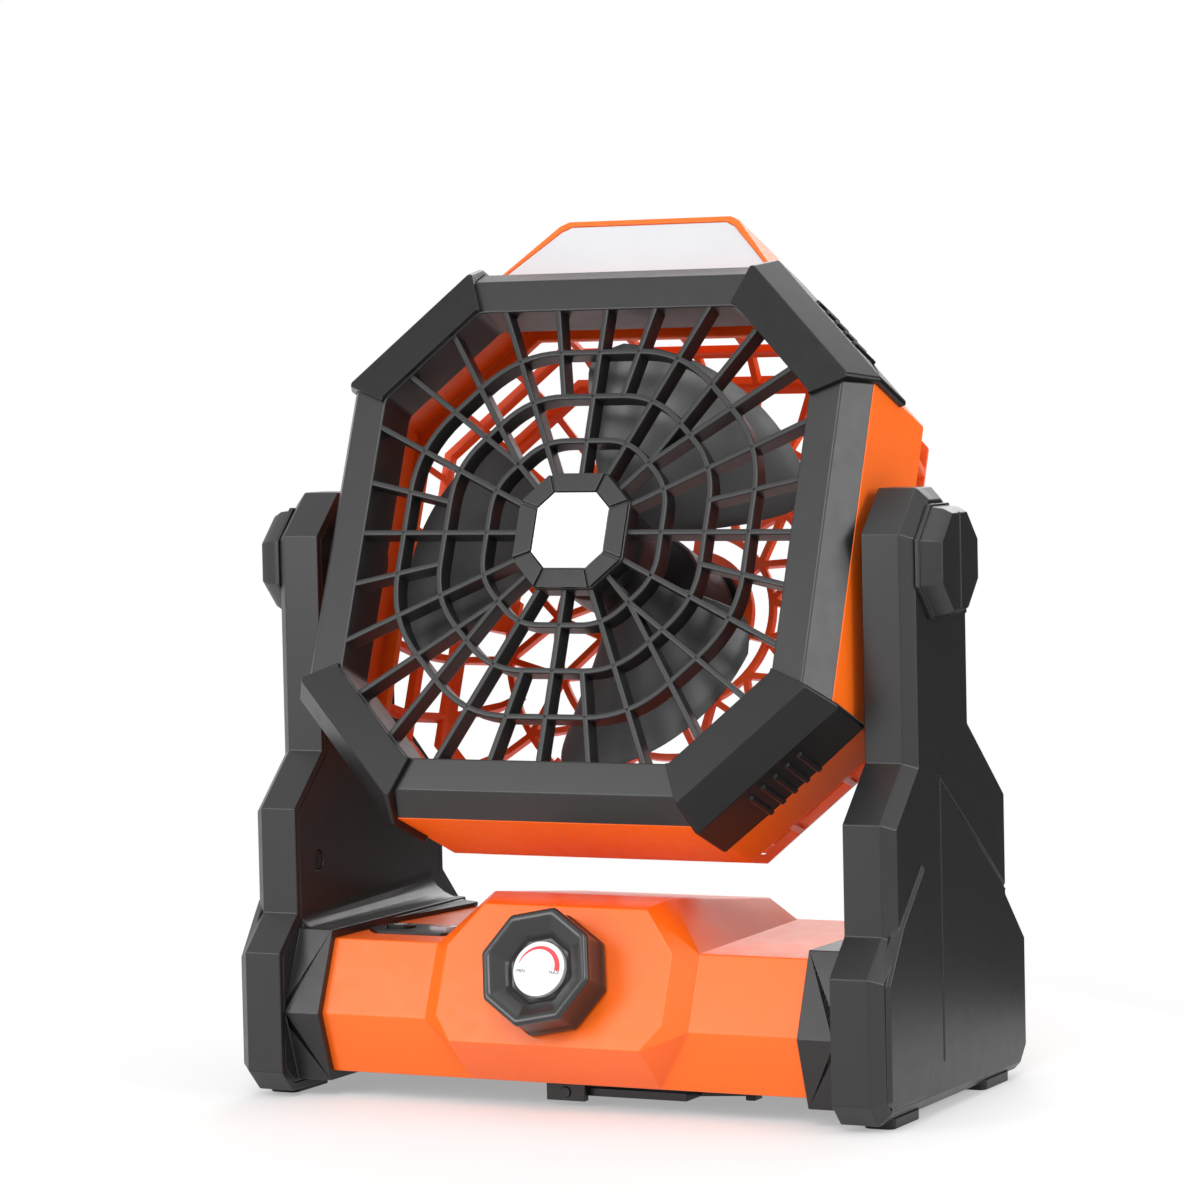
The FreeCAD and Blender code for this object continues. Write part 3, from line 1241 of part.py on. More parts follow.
def hang_hook():
    """Folding hook: two legs, a cross bar, and a beak that turns back at the end."""
    z = hook_pin_z()
    half = HOOK_THICK / 2
    front = HOOK_FRONT_Y + 2.4 + RUN_GAP
    rear = HOOK_REAR_Y - 2.4 - RUN_GAP
    far = HOOK_X + HOOK_LENGTH
    legs = []
    for y0, y1 in ((front, front + HOOK_LEG), (rear - HOOK_LEG, rear)):
        legs.append(block(HOOK_X, far - 18, y0, y1, z - half, z + half))
        legs.append(rod(HOOK_PIN_R + HOOK_KNUCKLE, V(HOOK_X, y0, z), AXIS_Y, y1 - y0))
    bar = block(far - 18, far - 14, front, rear, z - half, z + half)
    middle = (front + rear) / 2
    beak = along_z([(far - 15, middle - 8), (far, middle - 2.5), (far, middle + 2.5), (far - 15, middle + 8)],
                   z - half, z + half)
    window = along_z([(far - 13, middle - 3.6), (far - 5, middle - 1.2), (far - 5, middle + 1.2),
                      (far - 13, middle + 3.6)], z - half - 1, z + half + 1)
    tip = block(far - 3, far, middle - 2.5, middle + 2.5, z - half - 1.4, z + half)
    body = legs[0].fuse(legs[1:] + [bar, beak, tip]).cut(window)
    return body.cut(rod(HOOK_PIN_R + HOOK_PIN_GAP, V(HOOK_X, front - 1, z), AXIS_Y, rear - front + 2)).removeSplitter()


def both_sides(pieces, name, shape):
    """Add a right-hand piece and its mirror image at the left."""
    if isinstance(shape, list):
        pieces["left_" + name] = Part.makeCompound([mirrored(s) for s in shape])
        pieces["right_" + name] = Part.makeCompound(shape)
    else:
        pieces["left_" + name] = mirrored(shape)
        pieces["right_" + name] = shape


def arm_pieces():
    """Pieces of the two arms and the pivot."""
    pieces = {}
    both_sides(pieces, "arm_outer_shell", arm_outer_shell())
    both_sides(pieces, "arm_inner_shell", arm_inner_shell())
    both_sides(pieces, "arm_screws", arm_screws())
    both_sides(pieces, "pivot_cap", pivot_cap())
    both_sides(pieces, "pivot_washer", pivot_washer())
    both_sides(pieces, "pivot_axle", tilt_head(pivot_axle()))
    both_sides(pieces, "axle_clip", tilt_head(axle_clip()))
    front_y, rear_y = foot_centres()
    both_sides(pieces, "front_foot", foot(front_y))
    both_sides(pieces, "rear_foot", foot(rear_y))
    return pieces


def head_pieces():
    """Pieces of the tilting head, upright about the pivot."""
    return {
        "front_grille": front_grille(),
        "hub_badge": hub_badge(),
        "upper_left_guard": corner_guard(-1, 1),
        "upper_right_guard": corner_guard(1, 1),
        "lower_left_guard": corner_guard(-1, -1),
        "lower_right_guard": corner_guard(1, -1),
        "head_shell": head_shell(),
        "lamp_diffuser": lamp_diffuser(),
        "led_board": led_board(),
        "rear_basket": rear_basket(),
        "motor": motor(),
        "motor_mount": motor_mount(),
        "motor_screws": Part.makeCompound(motor_screws()),
        "motor_shaft": motor_shaft(),
        "fan_rotor": rotor(),
    }


def base_pieces():
    """Pieces of the battery base, its controls and its hook."""
    return {
        "base_upper_housing": base_upper_housing(),
        "base_bottom_cover": base_bottom_cover(),
        "base_screws": Part.makeCompound(base_screws()),
        "control_panel": control_panel(),
        "light_button": button(0),
        "power_button": button(1),
        "main_circuit_board": main_circuit_board(),
        "battery_cells": Part.makeCompound(battery_cells()),
        "battery_holder": battery_holder(),
        "usb_c_socket": usb_c_socket(),
        "speed_knob": speed_knob(),
        "knob_dial_disc": knob_dial_disc(),
        "knob_shaft": knob_shaft(),
        "speed_potentiometer": speed_potentiometer(),
        "hook_bracket": hook_bracket(),
        "hook_pin": hook_pin(),
        "hang_hook": hang_hook(),
    }


def main():
    """Build every piece, centre the whole fan over the origin and write one file for each node."""
    os.makedirs("parts", exist_ok=True)
    pieces = arm_pieces()
    pieces.update(base_pieces())
    for name, shape in head_pieces().items():
        pieces[name] = tilt_head(shape)
    box = Part.makeCompound(list(pieces.values())).BoundBox
    shift_y = -(box.YMin + box.YMax) / 2
    print("origin moved along Y by", round(shift_y, 4))
    print("knob centre", V(0, facet_y(KNOB_Z) + shift_y, KNOB_Z))
    print("hook pin", V(HOOK_X, shift_y, hook_pin_z()))
    for name, shape in pieces.items():
        shape.translate(V(0, shift_y, 0))
        shape.exportStep(os.path.join("parts", name + ".step"))
        print(name, len(shape.Solids), round(shape.Volume, 1))


main()
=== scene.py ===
"""Looks of the portable camping fan: softened mouldings, worked surfaces, finishes, studio and camera."""
import json
import logging
import math
from dataclasses import dataclass, field
from enum import Enum

import bmesh
import bpy
import numpy as np
from mathutils import Matrix, Vector

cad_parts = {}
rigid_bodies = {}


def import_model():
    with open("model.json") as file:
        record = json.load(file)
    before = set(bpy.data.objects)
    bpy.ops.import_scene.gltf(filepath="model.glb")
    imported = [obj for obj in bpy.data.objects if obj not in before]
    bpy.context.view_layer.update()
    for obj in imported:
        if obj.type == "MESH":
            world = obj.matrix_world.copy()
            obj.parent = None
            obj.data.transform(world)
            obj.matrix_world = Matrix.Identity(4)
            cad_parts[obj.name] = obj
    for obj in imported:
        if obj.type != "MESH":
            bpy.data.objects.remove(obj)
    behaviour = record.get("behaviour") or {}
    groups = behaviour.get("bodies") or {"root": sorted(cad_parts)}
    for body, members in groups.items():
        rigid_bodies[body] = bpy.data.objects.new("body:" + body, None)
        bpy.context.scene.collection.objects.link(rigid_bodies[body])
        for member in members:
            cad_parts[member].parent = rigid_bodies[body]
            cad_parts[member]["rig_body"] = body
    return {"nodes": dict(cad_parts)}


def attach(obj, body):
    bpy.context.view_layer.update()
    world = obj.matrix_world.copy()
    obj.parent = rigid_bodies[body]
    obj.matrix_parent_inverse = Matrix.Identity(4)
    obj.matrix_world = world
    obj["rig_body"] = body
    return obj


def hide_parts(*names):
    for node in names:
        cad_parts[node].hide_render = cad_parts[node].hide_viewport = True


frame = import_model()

LOG = logging.getLogger("camping_fan")
MM = 0.001
SHIFT_Y = -7.8379
CORNER_SLOPE = math.tan(math.radians(22.5))
# Points of a new surface and of a CAD copy are merged within these distances, in metres.
MERGE_NEW = 2e-6
MERGE_CAD = 4e-6
# Angles in degrees: triangles joined as one flat face, edges shaded smooth, edges that are softened.
FLAT_ANGLE = 0.6
SMOOTH_ANGLE = 38.0
BEVEL_ANGLE = 28.0
BEVEL_SEGMENTS = 2
NORMAL_WEIGHT = 80
# Part of a noise's range that is spread over a finish's own band.
NOISE_LOW = 0.3
NOISE_HIGH = 0.7


def linear(red: float, green: float, blue: float) -> tuple[float, float, float]:
    """Turn a display colour into the linear colour that a shader takes.

    Args:
        red: display red, 0 to 255.
        green: display green, 0 to 255.
        blue: display blue, 0 to 255.

    Returns:
        The three linear parts, 0 to 1.
    """
    parts = np.array([red, green, blue]) / 255.0
    low = parts / 12.92
    high = ((parts + 0.055) / 1.055) ** 2.4
    result = np.where(parts <= 0.04045, low, high)
    return float(result[0]), float(result[1]), float(result[2])


class Slot(Enum):
    """Material slots of the record."""

    BLACK = "black_plastic"
    ORANGE = "orange_plastic"
    RUBBER = "rubber_black"
    WHITE = "white_plastic"
    FROSTED = "frosted_cover"
    GREY = "dark_grey_plastic"
    STEEL = "steel"
    WRAP = "cell_wrap"
    BOARD = "circuit_board"


class Grain(Enum):
    """How the fine relief of a finish runs."""

    SATIN = "satin"
    BRUSHED = "brushed"
    TRACKS = "tracks"


@dataclass(frozen=True)
class Finish:
    """One finish: colour with a little drift, a band of roughness and a fine relief.

    Lengths are in metres; scales are waves per metre. The tone ends the material's name where one slot
    has several finishes.
    """

    slot: Slot
    colour: tuple[float, float, float]
    drift: float = 0.12
    rough_low: float = 0.36
    rough_high: float = 0.46
    grain_scale: float = 2600.0
    relief: float = 0.00004
    strength: float = 0.35
    grain: Grain = Grain.SATIN
    metallic: float = 0.0
    subsurface: float = 0.0
    coat: float = 0.0
    specular: float = 0.5
    tone: str = ""
    coat_rough: float = 0.25
    glow_reach: tuple[float, float, float] = (0.004, 0.003, 0.002)
    broad_scale: float = 34.0
    track_scale: float = 420.0
    patch_scale: float = 210.0
    brush_stretch: float = 0.06

    def material(self) -> bpy.types.Material:
        """Build the node material of this finish, or give back the one already built.

        Returns:
            The material.
        """
        name = "finish_" + self.slot.value + self.tone
        known = bpy.data.materials.get(name)
        if known:
            return known
        made = bpy.data.materials.new(name)
        made.use_nodes = True
        tree = made.node_tree
        shader = tree.nodes["Principled BSDF"]
        shader.inputs["Metallic"].default_value = self.metallic
        shader.inputs["Subsurface Weight"].default_value = self.subsurface
        shader.inputs["Subsurface Radius"].default_value = self.glow_reach
        shader.inputs["Coat Weight"].default_value = self.coat
        shader.inputs["Coat Roughness"].default_value = self.coat_rough
        shader.inputs["Specular IOR Level"].default_value = self.specular
        place = tree.nodes.new("ShaderNodeTexCoord")
        self.add_colour(tree, shader, place)
        self.add_roughness(tree, shader, place)
        self.add_relief(tree, shader, place)
        return made

    def add_colour(self, tree: bpy.types.NodeTree, shader: bpy.types.Node, place: bpy.types.Node) -> None:
        """Colour: the finish's own, drifting to a darker one by a broad noise or along tracks.

        Args:
            tree: the material's nodes.
            shader: the shader that is fed.
            place: the node that gives Object coordinates.
        """
        ramp = tree.nodes.new("ShaderNodeValToRGB")
        dark = tuple(part * (1.0 - self.drift) for part in self.colour)
        ramp.color_ramp.elements[0].position = NOISE_LOW
        ramp.color_ramp.elements[0].color = (*dark, 1.0)
        ramp.color_ramp.elements[1].position = NOISE_HIGH
        ramp.color_ramp.elements[1].color = (*self.colour, 1.0)
        if self.grain is Grain.TRACKS:
            source = tree.nodes.new("ShaderNodeTexVoronoi")
            source.distance = "MANHATTAN"
            source.inputs["Scale"].default_value = self.track_scale
            tree.links.new(source.outputs["Distance"], ramp.inputs["Fac"])
        else:
            source = tree.nodes.new("ShaderNodeTexNoise")
            source.inputs["Scale"].default_value = self.broad_scale
            source.inputs["Detail"].default_value = 4.0
            tree.links.new(source.outputs["Fac"], ramp.inputs["Fac"])
        tree.links.new(place.outputs["Object"], source.inputs["Vector"])
        tree.links.new(ramp.outputs["Color"], shader.inputs["Base Color"])

    def add_roughness(self, tree: bpy.types.NodeTree, shader: bpy.types.Node, place: bpy.types.Node) -> None:
        """Roughness: a band of values spread by a noise of a few millimetres.

        Args:
            tree: the material's nodes.
            shader: the shader that is fed.
            place: the node that gives Object coordinates.
        """
        noise = tree.nodes.new("ShaderNodeTexNoise")
        noise.inputs["Scale"].default_value = self.patch_scale
        noise.inputs["Detail"].default_value = 3.0
        spread = tree.nodes.new("ShaderNodeMapRange")
        spread.inputs["From Min"].default_value = NOISE_LOW
        spread.inputs["From Max"].default_value = NOISE_HIGH
        spread.inputs["To Min"].default_value = self.rough_low
        spread.inputs["To Max"].default_value = self.rough_high
        tree.links.new(place.outputs["Object"], noise.inputs["Vector"])
        tree.links.new(noise.outputs["Fac"], spread.inputs["Value"])
        tree.links.new(spread.outputs["Result"], shader.inputs["Roughness"])

    def add_relief(self, tree: bpy.types.NodeTree, shader: bpy.types.Node, place: bpy.types.Node) -> None:
        """Relief: a fine noise, drawn out along one direction where the finish is brushed.

        Args:
            tree: the material's nodes.
            shader: the shader that is fed.
            place: the node that gives Object coordinates.
        """
        stretch = tree.nodes.new("ShaderNodeMapping")
        if self.grain is Grain.BRUSHED:
            stretch.inputs["Scale"].default_value = (1.0, self.brush_stretch, 1.0)
        noise = tree.nodes.new("ShaderNodeTexNoise")
        noise.inputs["Scale"].default_value = self.grain_scale
        noise.inputs["Detail"].default_value = 2.0
        bump = tree.nodes.new("ShaderNodeBump")
        bump.inputs["Strength"].default_value = self.strength
        bump.inputs["Distance"].default_value = self.relief
        tree.links.new(place.outputs["Object"], stretch.inputs["Vector"])
        tree.links.new(stretch.outputs["Vector"], noise.inputs["Vector"])
        tree.links.new(noise.outputs["Fac"], bump.inputs["Height"])
        tree.links.new(bump.outputs["Normal"], shader.inputs["Normal"])


@dataclass(frozen=True)
class InkFinish:
    """Thin printed ink on a control, with the plastic's grain showing through."""

    name: str
    slot: Slot
    colour: tuple[float, float, float]

    def material(self) -> bpy.types.Material:
        """Build the ink's node material, or give back the one already built."""
        return Finish(self.slot, self.colour, drift=0.15, rough_low=0.4, rough_high=0.55, strength=0.2,
                      tone="_" + self.name).material()


BLACK = Finish(Slot.BLACK, linear(30, 30, 31), drift=0.05, rough_low=0.34, rough_high=0.39, strength=0.4)
ORANGE = Finish(Slot.ORANGE, linear(252, 108, 18), drift=0.05, rough_low=0.3, rough_high=0.4, strength=0.25,
                subsurface=0.06)
RUBBER = Finish(Slot.RUBBER, linear(21, 21, 22), drift=0.05, rough_low=0.3, rough_high=0.36, grain_scale=1900.0,
                strength=0.4, specular=0.3)
WHITE = Finish(Slot.WHITE, linear(243, 243, 243), drift=0.03, rough_low=0.35, rough_high=0.45, strength=0.15)
FROSTED = Finish(Slot.FROSTED, linear(208, 209, 212), drift=0.05, rough_low=0.5, rough_high=0.6, strength=0.3,
                 subsurface=0.35)
GREY = Finish(Slot.GREY, linear(50, 50, 51), drift=0.05, rough_low=0.4, rough_high=0.46, strength=0.3)
WHEEL = Finish(Slot.GREY, linear(66, 66, 67), drift=0.05, rough_low=0.36, rough_high=0.42, strength=0.25,
               tone="_wheel")
# Redder copy of the orange plastic for the rear basket: painted bounce light, the deep red that light takes between
# the orange walls inside the head.
BASKET_BOUNCE_RED = Finish(Slot.ORANGE, linear(250, 90, 15), drift=0.05, rough_low=0.3, rough_high=0.4, strength=0.25,
                subsurface=0.06, tone="_basket")
# Lighter copy of the black plastic for the knob: painted highlight for the brighter lit facets of its dish; its lower
# roughness is real gloss.
KNOB_LIT_BLACK = Finish(Slot.BLACK, linear(40, 40, 41), drift=0.05, rough_low=0.22, rough_high=0.27, strength=0.15,
                    tone="_knob")
PALE_KEY = Finish(Slot.RUBBER, linear(178, 172, 174), drift=0.05, rough_low=0.25, rough_high=0.32, strength=0.2,
                  tone="_pale")
DARK_STEEL = Finish(Slot.STEEL, linear(58, 58, 60), rough_low=0.35, rough_high=0.45, metallic=0.6, tone="_dark")
STEEL = Finish(Slot.STEEL, linear(196, 196, 200), rough_low=0.22, rough_high=0.36, grain=Grain.BRUSHED, metallic=1.0)
WRAP = Finish(Slot.WRAP, linear(60, 110, 190), drift=0.1, rough_low=0.25, rough_high=0.35, coat=0.4)
BOARD = Finish(Slot.BOARD, linear(24, 120, 66), drift=0.45, rough_low=0.3, rough_high=0.42, grain=Grain.TRACKS,
               coat=0.3)
RED_INK = InkFinish("ink_red", Slot.WHITE, linear(214, 58, 70))
DARK_INK = InkFinish("ink_dark", Slot.WHITE, linear(34, 34, 38))
PALE_INK = InkFinish("ink_pale", Slot.BLACK, linear(205, 205, 205))
PHOSPHOR = InkFinish("diode_lens", Slot.WHITE, linear(240, 214, 120))


@dataclass(frozen=True)
class Placement:
    """Turn about the X axis and a move that take a sub-assembly's own axes, in mm, to the fan's."""

    angle: float
    offset: tuple[float, float, float]

    def place(self, points: np.ndarray) -> np.ndarray:
        """Turned and moved copy of an array of points (..., 3).

        Args:
            points: points in mm, in the sub-assembly's own axes.

        Returns:
            The points in the fan's axes.
        """
        cosine = math.cos(math.radians(self.angle))
        sine = math.sin(math.radians(self.angle))
        turn = np.array([[1.0, 0.0, 0.0], [0.0, cosine, -sine], [0.0, sine, cosine]])
        return points @ turn.T + np.array(self.offset)


HEAD = Placement(-21.3, (0.0, SHIFT_Y, 151.0))
KNOB = Placement(-22.6, (0.0, -48.5869, 38.1))
BASE = Placement(0.0, (0.0, SHIFT_Y, 0.0))


@dataclass
class Surface:
    """Vertices (n, 3) in mm and faces as lists of indices."""

    points: np.ndarray
    faces: list[list[int]]

    @staticmethod
    def grid(rows: np.ndarray, wrap_rows: bool = False, wrap_columns: bool = True, capped: bool = True) -> "Surface":
        """Skin over a grid of points (rows, columns, 3): each cell of four neighbours is one face.

        Args:
            rows: the points, one row per section.
            wrap_rows: the last row joins the first.
            wrap_columns: each section is closed.
            capped: the first and last sections are closed with one face each.

        Returns:
            The surface.
        """
        count, width = rows.shape[:2]
        i = np.arange(count if wrap_rows else count - 1)[:, None]
        j = np.arange(width if wrap_columns else width - 1)[None, :]
        after_i = (i + 1) % count
        after_j = (j + 1) % width
        cells = np.stack([i * width + j, i * width + after_j, after_i * width + after_j, after_i * width + j], -1)
        faces = cells.reshape(-1, 4).tolist()
        if capped and wrap_columns and not wrap_rows:
            faces.append(np.arange(width)[::-1].tolist())
            faces.append((np.arange(width) + (count - 1) * width).tolist())
        return Surface(rows.reshape(-1, 3), faces)

    @staticmethod
    def together(parts: list["Surface"]) -> "Surface":
        """One surface from several.

        Args:
            parts: the surfaces.

        Returns:
            The surface that holds them all.
        """
        starts = np.cumsum([0] + [len(part.points) for part in parts])
        faces = [[index + int(start) for index in face] for part, start in zip(parts, starts) for face in part.faces]
        return Surface(np.concatenate([part.points for part in parts]), faces)

    def placed(self, placement: Placement) -> "Surface":
        """The surface in the fan's axes."""
        return Surface(placement.place(self.points), self.faces)


def octagon(half: float, corner: float) -> np.ndarray:
    """Corners (8, 2) of an octagon with flats at half and corners at corner, clockwise from the top right."""
    h, c = half, corner
    return np.array([(c, h), (h, c), (h, -c), (c, -h), (-c, -h), (-h, -c), (-h, c), (-c, h)], dtype=float)


def eased(outline: np.ndarray, reach: float, steps: int = 5) -> np.ndarray:
    """Outline with eased corners.

    Each corner P between A and B, which lie at the reach on its two sides, becomes the curve
    (1 - s)^2 A + 2 s (1 - s) P + s^2 B.

    Args:
        outline: corners (n, 2) of a closed outline.
        reach: how far from the corner the curve starts.
        steps: points on each curve.

    Returns:
        Points (n * steps, 2).
    """
    back = np.roll(outline, 1, axis=0) - outline
    ahead = np.roll(outline, -1, axis=0) - outline
    start = outline + reach * back / np.linalg.norm(back, axis=1, keepdims=True)
    end = outline + reach * ahead / np.linalg.norm(ahead, axis=1, keepdims=True)
    s = np.linspace(0.0, 1.0, steps)[None, :, None]
    curve = (1 - s) ** 2 * start[:, None] + 2 * s * (1 - s) * outline[:, None] + s ** 2 * end[:, None]
    return curve.reshape(-1, 2)


def octagon_rows(stations: np.ndarray, ease: float, corner_of: "OctagonRule") -> np.ndarray:
    """Sections (m, n, 3) of an octagonal moulding.

    A station (half, y) gives an octagon with flats at half, at the depth y. Its corners are eased.

    Args:
        stations: stations (m, 2).
        ease: how far from a corner its curve starts.
        corner_of: rule that gives the corner of each octagon.

    Returns:
        Points of the sections.
    """
    sections = []
    for half, depth in stations:
        ring = eased(octagon(half, corner_of.corner(half)), ease, 4)
        sections.append(np.stack([ring[:, 0], np.full(len(ring), depth), ring[:, 1]], axis=-1))
    return np.array(sections)


@dataclass(frozen=True)
class OctagonRule:
    """How far along a side the corner of an octagon lies, for octagons parallel to a first one."""

    half: float
    along: float

    def corner(self, half: float) -> float:
        """Corner distance of the octagon whose flats lie at half."""
        return self.along + (half - self.half) * CORNER_SLOPE


def revolved(profile: np.ndarray, sides: int) -> Surface:
    """Surface of a profile (radius, y) turned about the Y axis: (r sin t, y, r cos t).

    Args:
        profile: points (m, 2).
        sides: points round a turn.

    Returns:
        The surface, closed by a face at each end.
    """
    turn = np.linspace(0.0, 2 * math.pi, sides, endpoint=False)[None, :]
    radius = profile[:, :1]
    rows = np.stack([radius * np.sin(turn), np.broadcast_to(profile[:, 1:], (len(profile), sides)),
                     radius * np.cos(turn)], axis=-1)
    return Surface.grid(rows)


def carried(path: np.ndarray, section: np.ndarray, closed: bool) -> Surface:
    """Section carried along a path in the plane of the grille.

    A section point (a, d) lies at the distance a across the path and at the depth d. Across a bend the
    distance grows by one over the cosine of half the bend, which mitres the corner.

    Args:
        path: points (m, 2) in (x, z).
        section: points (n, 2) in (across, depth).
        closed: the path returns to its start.

    Returns:
        The surface, closed or capped.
    """
    if closed:
        before = path - np.roll(path, 1, axis=0)
        after = np.roll(path, -1, axis=0) - path
    else:
        step = np.diff(path, axis=0)
        before = np.concatenate([step[:1], step])
        after = np.concatenate([step, step[-1:]])
    before = before / np.linalg.norm(before, axis=1, keepdims=True)
    after = after / np.linalg.norm(after, axis=1, keepdims=True)
    along = before + after
    along = along / np.linalg.norm(along, axis=1, keepdims=True)
    across = np.stack([along[:, 1], -along[:, 0]], axis=-1)
    cosine = np.sum(along * after, axis=1, keepdims=True)
    across = across / np.maximum(cosine, 0.3)
    flat = path[:, None] + across[:, None] * section[None, :, :1]
    depth = np.broadcast_to(section[None, :, 1], flat.shape[:2])
    rows = np.stack([flat[..., 0], depth, flat[..., 1]], axis=-1)
    return Surface.grid(rows, wrap_rows=closed)


@dataclass(frozen=True)
class Moulding:
    """A CAD node that gets a softened copy: its finish and the width of the softened edges in mm."""

    node: str
    finish: Finish
    edge: float
    flatten: bool = True


class Workshop:
    """Makes Blender pieces from surfaces and from the CAD nodes, and dresses them."""

    def __init__(self, nodes: dict[str, bpy.types.Object]) -> None:
        """Keep the CAD nodes by name."""
        self.nodes = nodes

    def piece(self, name: str, surface: Surface, finish: Finish | InkFinish, body: str,
              replaces: tuple[str, ...] = ()) -> bpy.types.Object:
        """Make one piece from a worked surface.

        Args:
            name: name of the piece.
            surface: its surface, in mm in the fan's axes.
            finish: its finish.
            body: the body it rides on.
            replaces: the CAD nodes that it stands for.

        Returns:
            The new object.
        """
        mesh = bpy.data.meshes.new(name)
        mesh.from_pydata((surface.points * MM).tolist(), [], surface.faces)
        shape = bmesh.new()
        shape.from_mesh(mesh)
        bmesh.ops.remove_doubles(shape, verts=shape.verts, dist=MERGE_NEW)
        bmesh.ops.recalc_face_normals(shape, faces=shape.faces)
        shape.to_mesh(mesh)
        shape.free()
        made = bpy.data.objects.new(name, mesh)
        bpy.context.scene.collection.objects.link(made)
        self.finish_piece(made, finish, body)
        if replaces:
            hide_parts(*replaces)
        return made

    def soften(self, moulding: Moulding, side: str = "") -> bpy.types.Object:
        """Stand a softened copy in for a CAD node: merged, cleaned of flat edges, and with eased edges.

        Args:
            moulding: the node, its finish and the width of its softened edges.
            side: what the node's name starts with, for one of a pair.

        Returns:
            The new object.
        """
        node = side + moulding.node
        source = self.nodes[node]
        mesh = source.data.copy()
        shape = bmesh.new()
        shape.from_mesh(mesh)
        bmesh.ops.remove_doubles(shape, verts=shape.verts, dist=MERGE_CAD)
        if moulding.flatten:
            bmesh.ops.dissolve_limit(shape, angle_limit=math.radians(FLAT_ANGLE), verts=shape.verts,
                                     edges=shape.edges)
        shape.to_mesh(mesh)
        shape.free()
        mesh.materials.clear()
        made = bpy.data.objects.new(node + "_soft", mesh)
        bpy.context.scene.collection.objects.link(made)
        self.finish_piece(made, moulding.finish, source["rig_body"], moulding.edge)
        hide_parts(node)
        return made

    def finish_piece(self, made: bpy.types.Object, finish: Finish | InkFinish, body: str, edge: float = 0.0) -> None:
        """Smooth a piece, soften its edges, give it its finish and slot, and let it ride on its body.

        Args:
            made: the piece.
            finish: its finish.
            body: the body it rides on.
            edge: width of the softened edges in mm, or 0 for none.
        """
        made.data.polygons.foreach_set("use_smooth", np.ones(len(made.data.polygons), dtype=bool))
        made.data.set_sharp_from_angle(angle=math.radians(SMOOTH_ANGLE))
        if edge:
            bevel = made.modifiers.new("edges", "BEVEL")
            bevel.width = edge * MM
            bevel.segments = BEVEL_SEGMENTS
            bevel.limit_method = "ANGLE"
            bevel.angle_limit = math.radians(BEVEL_ANGLE)
            bevel.use_clamp_overlap = False
            bevel.miter_outer = "MITER_ARC"
        level = made.modifiers.new("level", "WEIGHTED_NORMAL")
        level.keep_sharp = not edge
        level.weight = NORMAL_WEIGHT
        made.data.materials.append(finish.material())
        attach(made, body)
        LOG.info("piece %s: %d faces on %s", made.name, len(made.data.polygons), body)


